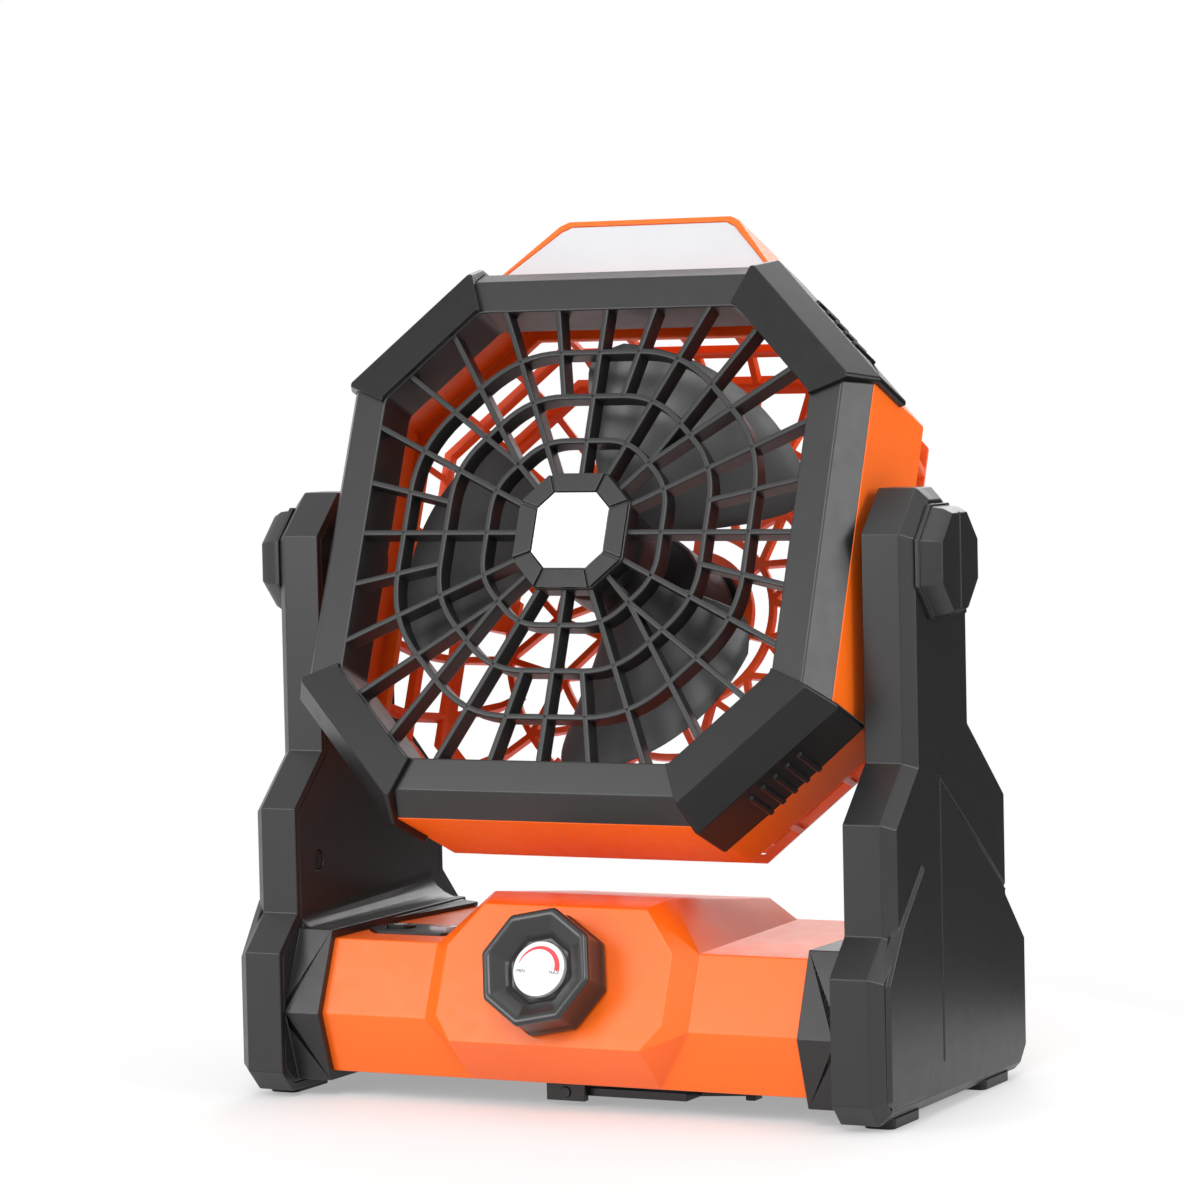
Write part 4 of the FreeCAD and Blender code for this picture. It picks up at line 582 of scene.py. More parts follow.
@dataclass
class FrontGrille:
    """Octagonal front frame with straight spokes, cornered rings and the hub, as one moulding."""

    front: float = 25.2
    opening: float = 66.0
    opening_corner: float = 40.2
    frame_flat: float = 9.4
    bevel_out: float = 5.8
    bevel_deep: float = 8.7
    shell_wall: float = 2.4
    inner_deep: float = 15.5
    lip_deep: float = 4.0
    lip_thick: float = 2.2
    rib: float = 1.7
    rib_deep: float = 6.0
    rib_back: float = 0.3
    spokes: int = 28
    rings: tuple[tuple[float, float], ...] = ((53.4, 25.7), (40.2, 19.6), (27.0, 13.3))
    ring_ease: float = 0.36
    hub_flat: float = 17.0
    hub_corner: float = 8.6
    hub_proud: float = 1.6
    hub_deep: float = 7.0
    badge_flat: float = 11.0
    badge_corner: float = 6.4
    groove: float = 0.8
    lip_gap: float = 0.05
    frame_ease: float = 0.55
    frame_corner_ease: float = 1.6
    rib_ease: float = 0.5
    hub_lap: float = 2.0
    frame_lap: float = 1.0
    node_lap: float = 0.6
    rule: OctagonRule = field(default_factory=lambda: OctagonRule(66.0, 40.2))

    def frame_ring(self) -> Surface:
        """Frame: a closed profile of (half, depth) with eased corners, carried round the octagon.

        Returns:
            Its surface.
        """
        outer = self.opening + self.frame_flat
        head = outer + self.bevel_out
        back = -self.front + self.bevel_deep
        lip = head - self.shell_wall - self.lip_gap
        profile = np.array([
            (self.opening, -self.front), (outer, -self.front), (head, back), (lip, back),
            (lip, back + self.lip_deep), (lip - self.lip_thick, back + self.lip_deep),
            (self.opening, self.inner_deep - self.front),
        ])
        rows = octagon_rows(eased(profile, self.frame_ease, 4), self.frame_corner_ease, self.rule)
        return Surface.grid(rows, wrap_rows=True)

    def rib_section(self) -> np.ndarray:
        """Section of a rib: a slim rectangle with eased corners, in (across, depth).

        Returns:
            Points (n, 2).
        """
        half = self.rib / 2
        near = -self.front + self.rib_back
        corners = np.array([(-half, near), (half, near), (half, near + self.rib_deep), (-half, near + self.rib_deep)])
        return eased(corners, self.rib_ease, 4)

    def reach(self, angle: float, half: float, corner: float) -> float:
        """Distance from the centre to an octagon's edge at an angle from the vertical.

        Args:
            angle: angle in degrees.
            half: distance of the octagon's flats.
            corner: how far along a flat its corner lies.

        Returns:
            The distance in mm.
        """
        turn = math.radians(angle % 90)
        along = half / max(math.cos(turn), math.sin(turn))
        across = (half + corner) / (math.cos(turn) + math.sin(turn))
        return min(along, across)

    def rib_ends(self) -> list[tuple[np.ndarray, np.ndarray]]:
        """Ends of all spokes: long ones to the hub, short ones to the middle ring, pairs at each corner.

        Returns:
            Pairs of points (x, z).
        """
        step = 360 / self.spokes
        inner_half, inner_corner = self.rings[2]
        node = self.reach(45, inner_half, inner_corner)
        ends = []
        for base in (0, 90, 180, 270):
            for k in (-2, -1, 0, 1, 2):
                angle = base + k * step
                start = self.reach(angle, *self.rings[1]) if abs(k) == 1 else self.hub_flat - self.hub_lap
                far = self.reach(angle, self.opening, self.opening_corner) + self.frame_lap
                ends.append((self.polar(start, angle), self.polar(far, angle)))
            hub_end = self.polar(self.hub_flat - self.hub_lap, base + 45)
            ends.append((hub_end, self.polar(node + self.node_lap, base + 45)))
            for side in (-1, 1):
                angle = base + 45 + side * step / 2
                far = self.reach(angle, self.opening, self.opening_corner) + self.frame_lap
                ends.append((self.polar(node, base + 45), self.polar(far, angle)))
        return ends

    @staticmethod
    def polar(radius: float, angle: float) -> np.ndarray:
        """Point (x, z) at a radius and an angle from the vertical."""
        turn = math.radians(angle)
        return np.array([radius * math.sin(turn), radius * math.cos(turn)])

    def ring_path(self, half: float, corner: float) -> np.ndarray:
        """Path of one ring: an octagon with widely eased corners."""
        return eased(octagon(half, corner), (half - corner) * math.sqrt(2.0) * self.ring_ease, 9)

    def hub(self) -> list[Surface]:
        """Hub: a lofted octagon with a seat, and eight raised blocks round the badge.

        A block lies between two corners of the badge and the two corners of the hub beyond them. Its
        rings shrink towards its middle as they rise: each point p becomes m + (p - m) f.

        Returns:
            The hub and its blocks.
        """
        top = -self.front - self.hub_proud
        slope = (self.hub_corner - self.badge_corner) / (self.hub_flat - self.badge_flat)
        sections = []
        for half, depth in ((self.hub_flat, self.hub_deep), (self.hub_flat, 1.9), (self.hub_flat - 0.25, 1.3),
                            (self.hub_flat - 0.8, 0.8), (self.badge_flat + 0.3, 0.8), (self.badge_flat + 0.1, 1.2)):
            ring = eased(octagon(half, self.badge_corner + (half - self.badge_flat) * slope), 0.8, 4)
            sections.append(np.stack([ring[:, 0], np.full(len(ring), top + depth), ring[:, 1]], axis=-1))
        parts = [Surface.grid(np.array(sections))]
        inner = octagon(self.badge_flat + 0.4, self.badge_corner + 0.15)
        outer = octagon(self.hub_flat - 0.3, self.hub_corner - 0.12)
        for side in range(8):
            after = (side + 1) % 8
            along = (outer[after] - outer[side]) / np.linalg.norm(outer[after] - outer[side])
            gap = along * self.groove / 2
            corners = np.array([inner[side] + gap, outer[side] + gap, outer[after] - gap, inner[after] - gap])
            ring = eased(corners, 0.4, 3)
            middle = ring.mean(axis=0)
            rows = [np.stack([middle[0] + (ring[:, 0] - middle[0]) * share, np.full(len(ring), top + depth),
                              middle[1] + (ring[:, 1] - middle[1]) * share], axis=-1)
                    for depth, share in ((1.0, 1.0), (0.35, 1.0), (0.1, 0.975), (0.0, 0.92))]
            parts.append(Surface.grid(np.array(rows)))
        return parts

    def build(self, shop: Workshop) -> None:
        """Make the whole front moulding.

        Args:
            shop: the workshop that makes the piece.
        """
        section = self.rib_section()
        parts = [self.frame_ring()]
        parts += [carried(np.array(ends), section, closed=False) for ends in self.rib_ends()]
        parts += [carried(self.ring_path(*ring), section, closed=True) for ring in self.rings]
        parts += self.hub()
        whole = Surface.together(parts).placed(HEAD)
        shop.piece("front_grille_moulding", whole, BLACK, "head", ("front_grille",))


@dataclass
class FanRotor:
    """Fan wheel: a domed hub and three wide blades whose pitch falls towards the tip."""

    radius: float = 61.0
    hub_radius: float = 15.0
    hub_deep: float = 17.0
    front: float = 13.0
    blades: int = 3
    start: float = 28.0
    thick: float = 1.7
    stations: tuple[float, ...] = (13.5, 30.0, 46.0, 64.0)
    chords: tuple[float, ...] = (20.0, 54.0, 82.0, 92.0)
    pitches: tuple[float, ...] = (38.0, 25.0, 16.0, 12.0)
    sweeps: tuple[float, ...] = (0.0, 3.0, 5.0, 6.0)
    root: float = 14.2
    tip_gap: float = 0.2
    tip_from: float = 0.72
    tip_narrow: float = 0.2
    edge_least: float = 0.25

    def middle(self, across: np.ndarray, along: np.ndarray) -> np.ndarray:
        """Middle surface of a blade.

        At a station s the chord c(s) leans by the pitch p(s): the point at the share u across it is
        (sweep + u c cos p, u c sin p, s). The station is chosen so that the point lies at the wanted
        distance from the axle, so the tip is a true arc.

        Args:
            across: share across the chord, -0.5 to 0.5.
            along: distance from the axle.

        Returns:
            Points of the surface.
        """
        station = along.copy()
        for _ in range(12):
            chord = np.interp(station, self.stations, self.chords)
            pitch = np.radians(np.interp(station, self.stations, self.pitches))
            sweep = np.interp(station, self.stations, self.sweeps)
            side = sweep + across * chord * np.cos(pitch)
            station = 0.5 * station + 0.5 * np.sqrt(np.maximum(along ** 2 - side ** 2, 25.0))
        depth = -self.front + self.hub_deep * 0.55 + across * chord * np.sin(pitch)
        return np.stack([side, depth, station], axis=-1)

    def blade(self) -> Surface:
        """One blade: its middle surface thickened along the normal, thinner at the edges.

        Returns:
            Its surface.
        """
        share = np.linspace(-0.5, 0.5, 33)[None, :]
        reach = np.linspace(0.0, 1.0, 25)[:, None]
        along = self.root + (self.radius - self.tip_gap - self.root) * reach
        past = np.clip((reach - self.tip_from) / (1.0 - self.tip_from), 0.0, 1.0)
        rounding = 1.0 - self.tip_narrow * past ** 3
        across = share * rounding
        points = self.middle(across + 0 * along, along + 0 * across)
        normal = np.cross(np.gradient(points, axis=1), np.gradient(points, axis=0))
        normal = normal / np.linalg.norm(normal, axis=-1, keepdims=True)
        edge = np.sqrt(np.clip(1.0 - (2 * share) ** 6, 0.0, 1.0)) * np.ones_like(reach)
        tip = np.sqrt(np.clip(1.0 - reach ** 14, 0.02, 1.0))
        half = (self.thick / 2 * np.maximum(edge, self.edge_least) * tip)[..., None]
        rows = np.concatenate([points + normal * half, (points - normal * half)[:, ::-1]], axis=1)
        return Surface.grid(rows)

    def hub(self) -> Surface:
        """Hub: a domed cup, its profile (radius, depth) turned about the axle.

        Returns:
            Its surface.
        """
        nose = np.radians(np.linspace(90.0, 0.0, 8))
        dome = np.stack([self.hub_radius - 5.0 + 5.0 * np.cos(nose), -self.front + 4.0 - 4.0 * np.sin(nose)], -1)
        back = -self.front + self.hub_deep
        rest = np.array([(self.hub_radius, back - 0.3), (self.hub_radius - 0.4, back), (self.hub_radius - 2.0, back),
                         (self.hub_radius - 2.2, -self.front + 4.6), (4.8, -self.front + 4.4), (4.5, back - 0.4),
                         (4.2, back), (1.6, back)])
        crown = np.array([(3.0, -self.front), (6.5, -self.front + 0.02)])
        return revolved(np.concatenate([crown, dome, rest]), 64)

    def build(self, shop: Workshop) -> None:
        """Make the fan wheel.

        Args:
            shop: the workshop that makes the piece.
        """
        parts = [self.hub()]
        one = self.blade()
        for k in range(self.blades):
            turn = math.radians(self.start + 360 / self.blades * k)
            cosine, sine = math.cos(turn), math.sin(turn)
            spin = np.array([[cosine, 0.0, sine], [0.0, 1.0, 0.0], [-sine, 0.0, cosine]])
            parts.append(Surface(one.points @ spin.T, one.faces))
        shop.piece("fan_wheel", Surface.together(parts).placed(HEAD), WHEEL, "rotor", ("fan_rotor",))


@dataclass
class HeadUnit:
    """Tilting head: shell, guards, lamp, rear basket and motor."""

    diode_count: int = 7
    diode_pitch: float = 7.0
    diode_low: float = 87.2
    diode_deep: float = 7.0
    diode_above: float = 2.0
    mouldings: tuple[Moulding, ...] = (
        Moulding("head_shell", ORANGE, 0.45),
        Moulding("rear_basket", BASKET_BOUNCE_RED, 0.2, flatten=False),
        Moulding("upper_left_guard", RUBBER, 0.38),
        Moulding("upper_right_guard", RUBBER, 0.38),
        Moulding("lower_left_guard", RUBBER, 0.38),
        Moulding("lower_right_guard", RUBBER, 0.38),
        Moulding("lamp_diffuser", FROSTED, 0.3),
        Moulding("led_board", BOARD, 0.0),
        Moulding("hub_badge", WHITE, 0.2),
        Moulding("motor", DARK_STEEL, 0.2),
        Moulding("motor_mount", RUBBER, 0.2),
        Moulding("motor_screws", STEEL, 0.12),
        Moulding("motor_shaft", STEEL, 0.12),
    )

    def diode_lenses(self) -> Surface:
        """Small domed lenses on the diodes: rounded squares that shrink as they rise.

        Returns:
            Their surface.
        """
        parts = []
        for k in range(self.diode_count):
            x = (k - (self.diode_count - 1) / 2) * self.diode_pitch
            rows = []
            for half, rise in ((1.4, 0.0), (1.4, 0.2), (1.2, 0.45), (0.8, 0.6)):
                square = eased(np.array([(-half, half), (half, half), (half, -half), (-half, -half)]), 0.4, 3)
                rows.append(np.stack([x + square[:, 0], np.full(len(square), self.diode_deep - rise),
                                      self.diode_low + self.diode_above + square[:, 1]], axis=-1))
            parts.append(Surface.grid(np.array(rows)))
        return Surface.together(parts)

    def build(self, shop: Workshop) -> None:
        """Dress the head's mouldings and add the lenses.

        Args:
            shop: the workshop that makes the pieces.
        """
        for moulding in self.mouldings:
            shop.soften(moulding)
        shop.piece("diode_lenses", self.diode_lenses().placed(HEAD), PHOSPHOR, "head")
        FrontGrille().build(shop)
        FanRotor().build(shop)


@dataclass
class ArmPair:
    """The two arms with their pivots, screws and feet."""

    mouldings: tuple[Moulding, ...] = (
        Moulding("arm_outer_shell", BLACK, 0.32),
        Moulding("arm_inner_shell", BLACK, 0.32),
        Moulding("arm_screws", DARK_STEEL, 0.12),
        Moulding("pivot_cap", BLACK, 0.3),
        Moulding("pivot_washer", RUBBER, 0.15),
        Moulding("pivot_axle", GREY, 0.2),
        Moulding("axle_clip", STEEL, 0.1),
        Moulding("front_foot", RUBBER, 0.3),
        Moulding("rear_foot", RUBBER, 0.3),
    )

    def build(self, shop: Workshop) -> None:
        """Dress both arms.

        Args:
            shop: the workshop that makes the pieces.
        """
        for side in ("left_", "right_"):
            for moulding in self.mouldings:
                shop.soften(moulding, side)


@dataclass
class SpeedKnob:
    """Speed knob: eight-sided, dished, with a white dial that carries a scale."""

    height: float = 12.7
    front_flat: float = 15.9
    rear_flat: float = 16.2
    gap: float = 0.6
    rim: float = 2.0
    dish_deep: float = 3.4
    moat_deep: float = 4.6
    disc_radius: float = 7.8
    disc_thick: float = 2.0
    disc_over: float = 0.4
    disc_sides: int = 72
    corner_ease: float = 0.8
    proud: float = 0.06
    turned: float = -12.0
    scale_outer: float = 6.4
    scale_widest: float = 1.6
    scale_least: float = 0.1
    scale_from: float = -78.0
    scale_to: float = 94.0
    scale_growth: float = 0.7
    scale_steps: int = 49
    letter: float = 1.5
    ink_thick: float = 0.05
    low_word: tuple[float, float] = (-5.3, -0.9)
    high_word: tuple[float, float] = (4.9, -1.0)

    def body(self) -> Surface:
        """Knob: stations (half, depth) from the back over the rim, down the dish and into the dial's moat.

        The whole is turned a little about its axis, as the knob stands in its rest position.

        Returns:
            Its surface.
        """
        front = -self.height
        disc = self.disc_radius
        stations = np.array([
            (self.rear_flat - 1.2, -self.gap), (self.rear_flat - 0.3, -self.gap), (self.rear_flat, -self.gap - 0.4),
            (self.rear_flat, -self.gap - 2.4), (self.rear_flat - 0.5, -self.gap - 3.2),
            (self.front_flat - 0.4, front + 3.0), (self.front_flat, front + 2.2), (self.front_flat, front + 1.0),
            (self.front_flat - 0.3, front + 0.35), (self.front_flat - 0.9, front),
            (self.front_flat - self.rim, front + 0.05), (self.front_flat - self.rim - 0.5, front + 0.4),
            (disc + 2.6, front + 2.3), (disc + 1.7, front + self.dish_deep),
            (disc + 1.1, front + self.moat_deep - 0.3), (disc + 0.7, front + self.moat_deep),
            (disc + 0.02, front + self.moat_deep),
        ])
        whole = Surface.grid(octagon_rows(stations, self.corner_ease, OctagonRule(1.0, CORNER_SLOPE)))
        cosine, sine = math.cos(math.radians(self.turned)), math.sin(math.radians(self.turned))
        spin = np.array([[cosine, 0.0, sine], [0.0, 1.0, 0.0], [-sine, 0.0, cosine]])
        return Surface(whole.points @ spin.T, whole.faces)

    def dial(self) -> Surface:
        """Dial: a thin white disc, its profile (radius, y) with an eased rim turned about the knob's axis.

        Returns:
            Its surface.
        """
        front = -self.height + self.dish_deep - self.disc_over
        rim = self.disc_radius
        back = front + self.disc_thick
        return revolved(np.array([(2.0, front), (rim - 0.5, front), (rim - 0.15, front + 0.12), (rim, front + 0.45),
                                  (rim, back - 0.3), (rim - 0.3, back), (2.0, back)]), self.disc_sides)

    def dial_depth(self) -> float:
        """Depth of the dial's printed face."""
        return -self.height + self.dish_deep - self.disc_over - self.proud

    def arc(self) -> Surface:
        """Speed arc: a band from the left of the dial over its top, which widens to the right.

        At the share u of its length it is least + (widest - least) u^g wide.

        Returns:
            Its surface.
        """
        turn = np.radians(np.linspace(self.scale_from, self.scale_to, self.scale_steps))
        share = np.linspace(0.0, 1.0, self.scale_steps) ** self.scale_growth
        outer = np.full(self.scale_steps, self.scale_outer)
        inner = outer - (self.scale_least + (self.scale_widest - self.scale_least) * share)
        front = self.dial_depth()
        rows = [np.stack([r * np.sin(turn), np.full(self.scale_steps, d), r * np.cos(turn)], axis=-1)
                for r, d in ((inner, front + 0.1), (inner, front), (outer, front), (outer, front + 0.1))]
        return Surface.grid(np.stack(rows, axis=1))

    def word(self, text: str, middle: tuple[float, float]) -> Surface:
        """Word of the scale, its letters facing the front of the dial.

        Args:
            text: the word.
            middle: its middle (x, z) on the dial.

        Returns:
            Its surface.
        """
        curve = bpy.data.curves.new("scale_" + text, "FONT")
        curve.body = text
        curve.size = self.letter
        curve.align_x = "CENTER"
        curve.align_y = "CENTER"
        curve.extrude = self.ink_thick
        holder = bpy.data.objects.new("scale_" + text, curve)
        bpy.context.scene.collection.objects.link(holder)
        bpy.context.view_layer.update()
        mesh = bpy.data.meshes.new_from_object(holder.evaluated_get(bpy.context.evaluated_depsgraph_get()))
        flat = np.empty(len(mesh.vertices) * 3)
        mesh.vertices.foreach_get("co", flat)
        flat = flat.reshape(-1, 3)
        front = self.dial_depth() + self.ink_thick
        points = np.stack([flat[:, 0] + middle[0], front - flat[:, 2], flat[:, 1] + middle[1]], axis=-1)
        faces = [list(face.vertices) for face in mesh.polygons]
        bpy.data.objects.remove(holder)
        bpy.data.meshes.remove(mesh)
        return Surface(points, faces)

    def build(self, shop: Workshop) -> None:
        """Make the knob, its dial and its scale.

        Args:
            shop: the workshop that makes the pieces.
        """
        shop.piece("knob_moulding", self.body().placed(KNOB), KNOB_LIT_BLACK, "knob", ("speed_knob",))
        shop.piece("white_dial", self.dial().placed(KNOB), WHITE, "knob", ("knob_dial_disc",))
        shop.soften(Moulding("knob_shaft", STEEL, 0.15))
        shop.piece("dial_arc", self.arc().placed(KNOB), RED_INK, "knob")
        words = [self.word("MIN", self.low_word), self.word("MAX", self.high_word)]
        shop.piece("dial_words", Surface.together(words).placed(KNOB), DARK_INK, "knob")


@dataclass
class BaseBeam:
    """Battery base: beam, middle block, panel, buttons, cells, socket and hook."""

    panel_x: float = -57.0
    panel_y: float = -11.0
    pitch: float = 14.0
    button_top: float = 46.9
    stroke_half: float = 0.18
    ink_thick: float = 0.05
    ring_steps: int = 33
    sun_ring: float = 0.85
    sun_ray: tuple[float, float] = (1.35, 2.1)
    sun_rays: int = 8
    power_ring: float = 1.5
    power_gap: float = 35.0
    power_bar: tuple[float, float] = (0.4, 2.0)
    mouldings: tuple[Moulding, ...] = (
        Moulding("base_upper_housing", ORANGE, 0.45),
        Moulding("base_bottom_cover", BLACK, 0.3),
        Moulding("base_screws", STEEL, 0.12),
        Moulding("control_panel", BLACK, 0.2),
        Moulding("light_button", RUBBER, 0.25),
        Moulding("power_button", PALE_KEY, 0.25),
        Moulding("main_circuit_board", BOARD, 0.0),
        Moulding("battery_cells", WRAP, 0.3),
        Moulding("battery_holder", GREY, 0.2),
        Moulding("usb_c_socket", STEEL, 0.12),
        Moulding("speed_potentiometer", STEEL, 0.2),
        Moulding("hook_bracket", BLACK, 0.25),
        Moulding("hook_pin", DARK_STEEL, 0.15),
        Moulding("hang_hook", BLACK, 0.3),
    )

    def symbol_ring(self, x: float, radius: float, start: float, end: float) -> Surface:
        """Arc of a symbol: a flat band round a centre between two angles.

        Args:
            x: place of the centre.
            radius: radius of the arc.
            start: first angle, in degrees.
            end: last angle.

        Returns:
            Its surface.
        """
        turn = np.radians(np.linspace(start, end, self.ring_steps))
        inner, outer = radius - self.stroke_half, radius + self.stroke_half
        top = self.button_top + self.ink_thick
        level = np.ones(self.ring_steps)
        rows = [np.stack([x + r * np.sin(turn), self.panel_y + r * np.cos(turn), z * level], axis=-1)
                for r, z in ((inner, self.button_top), (inner, top), (outer, top), (outer, self.button_top))]
        return Surface.grid(np.stack(rows, axis=1))

    def symbol_bar(self, x: float, reach: tuple[float, float], angle: float) -> Surface:
        """Stroke of a symbol: a slim bar from one radius to another at an angle.

        Args:
            x: place of the centre.
            reach: the two radii.
            angle: angle in degrees.

        Returns:
            Its surface.
        """
        turn = math.radians(angle)
        along = np.array([math.sin(turn), math.cos(turn)])
        across = np.array([along[1], -along[0]]) * self.stroke_half
        centre = np.array([x, self.panel_y])
        start, end = reach
        top = self.button_top + self.ink_thick
        corners = [centre + along * r + across * side for r, side in ((start, -1), (start, 1), (end, 1), (end, -1))]
        rows = [np.column_stack([corners, np.full(4, z)]) for z in (self.button_top, top)]
        return Surface.grid(np.array(rows))

    def build(self, shop: Workshop) -> None:
        """Dress the base and print the two button symbols.

        Args:
            shop: the workshop that makes the pieces.
        """
        for moulding in self.mouldings:
            shop.soften(moulding)
        lamp_x = self.panel_x - self.pitch / 2
        power_x = self.panel_x + self.pitch / 2
        rays = [self.symbol_bar(lamp_x, self.sun_ray, 360 / self.sun_rays * k) for k in range(self.sun_rays)]
        sun = Surface.together([self.symbol_ring(lamp_x, self.sun_ring, 0, 360)] + rays)
        power = Surface.together([self.symbol_ring(power_x, self.power_ring, self.power_gap, 360 - self.power_gap),
                                  self.symbol_bar(power_x, self.power_bar, 0)])
        shop.piece("lamp_symbol", sun.placed(BASE), PALE_INK, "light_button")
        shop.piece("power_symbol", power.placed(BASE), RED_INK, "power_button")


@dataclass(frozen=True)
class Lamp:
    """One soft square lamp that faces its target: lengths in metres, power in watts."""

    name: str
    at: tuple[float, float, float]
    target: tuple[float, float, float]
    size: float
    power: float

    def hang(self) -> None:
        """Add the lamp to the scene."""
        data = bpy.data.lights.new(self.name, "AREA")
        data.shape = "SQUARE"
        data.size = self.size
        data.energy = self.power
        holder = bpy.data.objects.new(self.name, data)
        holder.location = self.at
        holder.rotation_euler = (Vector(self.target) - Vector(self.at)).to_track_quat("-Z", "Y").to_euler()
        bpy.context.scene.collection.objects.link(holder)


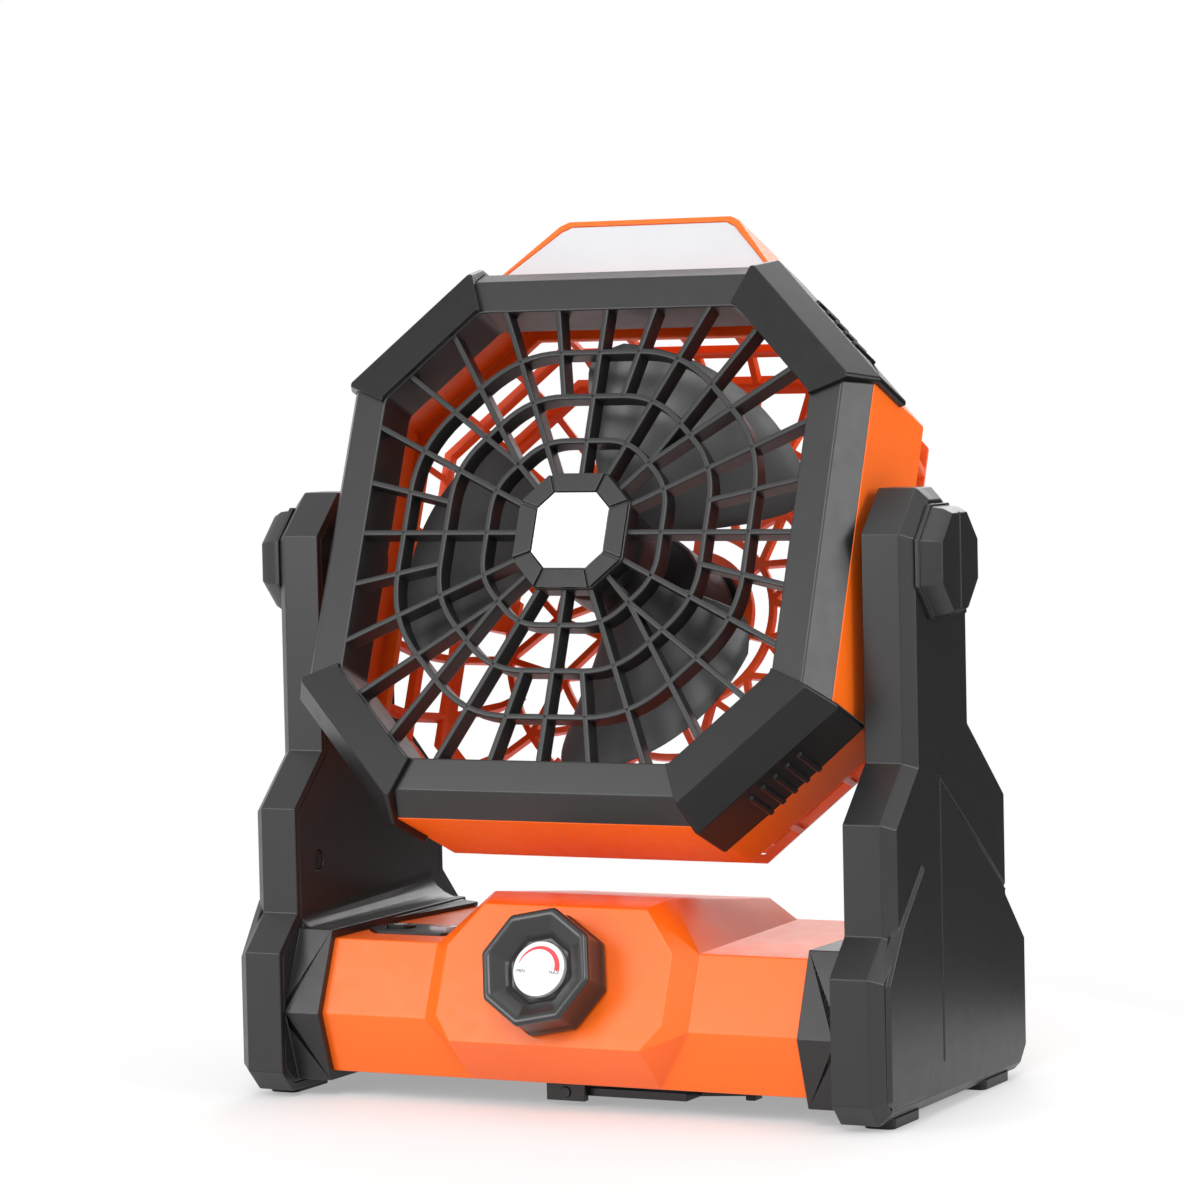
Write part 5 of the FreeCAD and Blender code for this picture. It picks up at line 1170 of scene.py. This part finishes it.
@dataclass
class Studio:
    """Plain pale floor, soft lamps and the camera at the photograph's angle."""

    camera_at: tuple[float, float, float] = (542.1, -1112.5, 204.9)
    look_at: tuple[float, float, float] = (-2.7, -9.2, 139.9)
    roll: float = -1.23
    lens: float = 131.03
    shadow_near: float = 0.1
    shadow_far: float = 0.32
    shadow_least: float = 0.35
    card_turn: float = 139.0
    card_away: float = 1.5
    card_near: float = 0.2
    card_half: float = 0.9
    card_high: float = 1.5
    card_rise: float = 0.002
    floor_half: float = 6.0
    ambient: float = 0.5
    lamps: tuple[Lamp, ...] = (
        Lamp("key", (0.3, -1.5, 1.4), (0.0, 0.0, 0.12), 1.0, 18.5),
        Lamp("front", (-0.62, -1.1, 0.45), (0.0, 0.0, 0.12), 0.55, 5.5),
        Lamp("right", (1.5, 0.0, 0.6), (0.0, 0.0, 0.12), 0.9, 11.0),
        Lamp("back", (-0.3, 1.7, 1.2), (0.0, 0.0, 0.15), 1.1, 12.0),
        Lamp("top", (0.1, 0.1, 1.8), (0.0, 0.0, 0.1), 1.2, 4.0),
    )

    def camera(self) -> None:
        """Set the camera: its back axis runs from the target to it, rolled a little about that axis."""
        eye = Vector(self.camera_at) * MM
        back = (eye - Vector(self.look_at) * MM).normalized()
        right = Vector((0, 0, 1)).cross(back).normalized()
        up = back.cross(right)
        turn = math.radians(self.roll)
        side = right * math.cos(turn) + up * math.sin(turn)
        top = up * math.cos(turn) - right * math.sin(turn)
        data = bpy.data.cameras.new("view")
        data.sensor_fit = "HORIZONTAL"
        data.sensor_width = 36.0
        data.lens = self.lens
        data.clip_start = 0.05
        holder = bpy.data.objects.new("view", data)
        holder.matrix_world = Matrix.Translation(eye) @ Matrix((side, top, back)).transposed().to_4x4()
        bpy.context.scene.collection.objects.link(holder)
        bpy.context.scene.camera = holder

    def floor(self) -> None:
        """Lay the pale floor, white to the camera and to glossy rays, and pale to the light."""
        mesh = bpy.data.meshes.new("floor")
        grid = np.linspace(-self.floor_half, self.floor_half, 5)
        x, y = np.meshgrid(grid, grid)
        rows = np.stack([x, y, np.zeros_like(x)], axis=-1)
        sheet = Surface.grid(rows, wrap_columns=False, capped=False)
        mesh.from_pydata(sheet.points.tolist(), [], sheet.faces)
        made = bpy.data.objects.new("floor", mesh)
        bpy.context.scene.collection.objects.link(made)
        material = bpy.data.materials.new("floor_paper")
        material.use_nodes = True
        tree = material.node_tree
        shader = tree.nodes["Principled BSDF"]
        shader.inputs["Base Color"].default_value = (0.9, 0.9, 0.9, 1.0)
        shader.inputs["Roughness"].default_value = 0.7
        glow = tree.nodes.new("ShaderNodeEmission")
        glow.inputs["Strength"].default_value = 1.0
        place = tree.nodes.new("ShaderNodeTexCoord")
        far = tree.nodes.new("ShaderNodeVectorMath")
        far.operation = "LENGTH"
        fade = tree.nodes.new("ShaderNodeMapRange")
        fade.interpolation_type = "SMOOTHSTEP"
        fade.inputs["From Min"].default_value = self.shadow_near
        fade.inputs["From Max"].default_value = self.shadow_far
        fade.inputs["To Min"].default_value = self.shadow_least
        path = tree.nodes.new("ShaderNodeLightPath")
        seen = tree.nodes.new("ShaderNodeMath")
        seen.operation = "MAXIMUM"
        share = tree.nodes.new("ShaderNodeMath")
        share.operation = "MULTIPLY"
        blend = tree.nodes.new("ShaderNodeMixShader")
        tree.links.new(place.outputs["Object"], far.inputs[0])
        tree.links.new(far.outputs["Value"], fade.inputs["Value"])
        tree.links.new(path.outputs["Is Camera Ray"], seen.inputs[0])
        tree.links.new(path.outputs["Is Glossy Ray"], seen.inputs[1])
        tree.links.new(seen.outputs["Value"], share.inputs[0])
        tree.links.new(fade.outputs["Result"], share.inputs[1])
        tree.links.new(share.outputs["Value"], blend.inputs["Fac"])
        tree.links.new(shader.outputs["BSDF"], blend.inputs[1])
        tree.links.new(glow.outputs["Emission"], blend.inputs[2])
        tree.links.new(blend.outputs["Shader"], tree.nodes["Material Output"].inputs["Surface"])
        mesh.materials.append(material)

    def world(self) -> None:
        """Light from all round at a plain level, white to the camera and to glossy and transmission rays."""
        world = bpy.data.worlds.new("studio")
        world.use_nodes = True
        bpy.context.scene.world = world
        tree = world.node_tree
        light = tree.nodes["Background"]
        light.inputs["Color"].default_value = (1.0, 1.0, 1.0, 1.0)
        light.inputs["Strength"].default_value = self.ambient
        seen = tree.nodes.new("ShaderNodeBackground")
        seen.inputs["Color"].default_value = (1.0, 1.0, 1.0, 1.0)
        seen.inputs["Strength"].default_value = 1.0
        path = tree.nodes.new("ShaderNodeLightPath")
        straight = tree.nodes.new("ShaderNodeMath")
        straight.operation = "MAXIMUM"
        every = tree.nodes.new("ShaderNodeMath")
        every.operation = "MAXIMUM"
        blend = tree.nodes.new("ShaderNodeMixShader")
        tree.links.new(path.outputs["Is Camera Ray"], straight.inputs[0])
        tree.links.new(path.outputs["Is Glossy Ray"], straight.inputs[1])
        tree.links.new(straight.outputs["Value"], every.inputs[0])
        tree.links.new(path.outputs["Is Transmission Ray"], every.inputs[1])
        tree.links.new(every.outputs["Value"], blend.inputs["Fac"])
        tree.links.new(light.outputs["Background"], blend.inputs[1])
        tree.links.new(seen.outputs["Background"], blend.inputs[2])
        tree.links.new(blend.outputs["Shader"], tree.nodes["World Output"].inputs["Surface"])

    def card(self) -> None:
        """Lay and fold up a dark card beyond the right side, for glossy rays alone: side faces mirror it.

        Its points are r(w) d + u t + h(w) z, with d the direction away from the fan, t level and square to
        it, and r(w), h(w) the folded profile.
        """
        away = np.array([math.sin(math.radians(self.card_turn)), -math.cos(math.radians(self.card_turn)), 0.0])
        level = np.array([-away[1], away[0], 0.0])
        near = self.card_near
        low = self.card_rise
        profile = np.array([(near, low), (self.card_away, low), (self.card_away, self.card_high)])
        u = np.linspace(-self.card_half, self.card_half, 3)[None, :, None]
        rows = profile[:, None, :1] * away + u * level + profile[:, None, 1:] * np.array([0.0, 0.0, 1.0])
        sheet = Surface.grid(rows, wrap_columns=False, capped=False)
        mesh = bpy.data.meshes.new("dark_card")
        mesh.from_pydata(sheet.points.tolist(), [], sheet.faces)
        made = bpy.data.objects.new("dark_card", mesh)
        bpy.context.scene.collection.objects.link(made)
        material = bpy.data.materials.new("card_cloth")
        material.use_nodes = True
        shader = material.node_tree.nodes["Principled BSDF"]
        shader.inputs["Base Color"].default_value = (0.02, 0.02, 0.02, 1.0)
        shader.inputs["Roughness"].default_value = 0.9
        mesh.materials.append(material)
        made.visible_camera = False
        made.visible_diffuse = False
        made.visible_transmission = False
        made.visible_shadow = False

    def build(self) -> None:
        """Set the floor, the card, the lamps, the world and the camera."""
        self.floor()
        self.card()
        self.world()
        for lamp in self.lamps:
            lamp.hang()
        self.camera()
        bpy.context.scene.view_settings.view_transform = "Standard"


def main() -> None:
    """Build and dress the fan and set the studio."""
    logging.basicConfig(level=logging.INFO, format="%(name)s %(message)s")
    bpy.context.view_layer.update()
    shop = Workshop(frame["nodes"])
    ArmPair().build(shop)
    BaseBeam().build(shop)
    SpeedKnob().build(shop)
    HeadUnit().build(shop)
    Studio().build()
    bpy.context.view_layer.update()


if __name__ == "__main__":
    main()
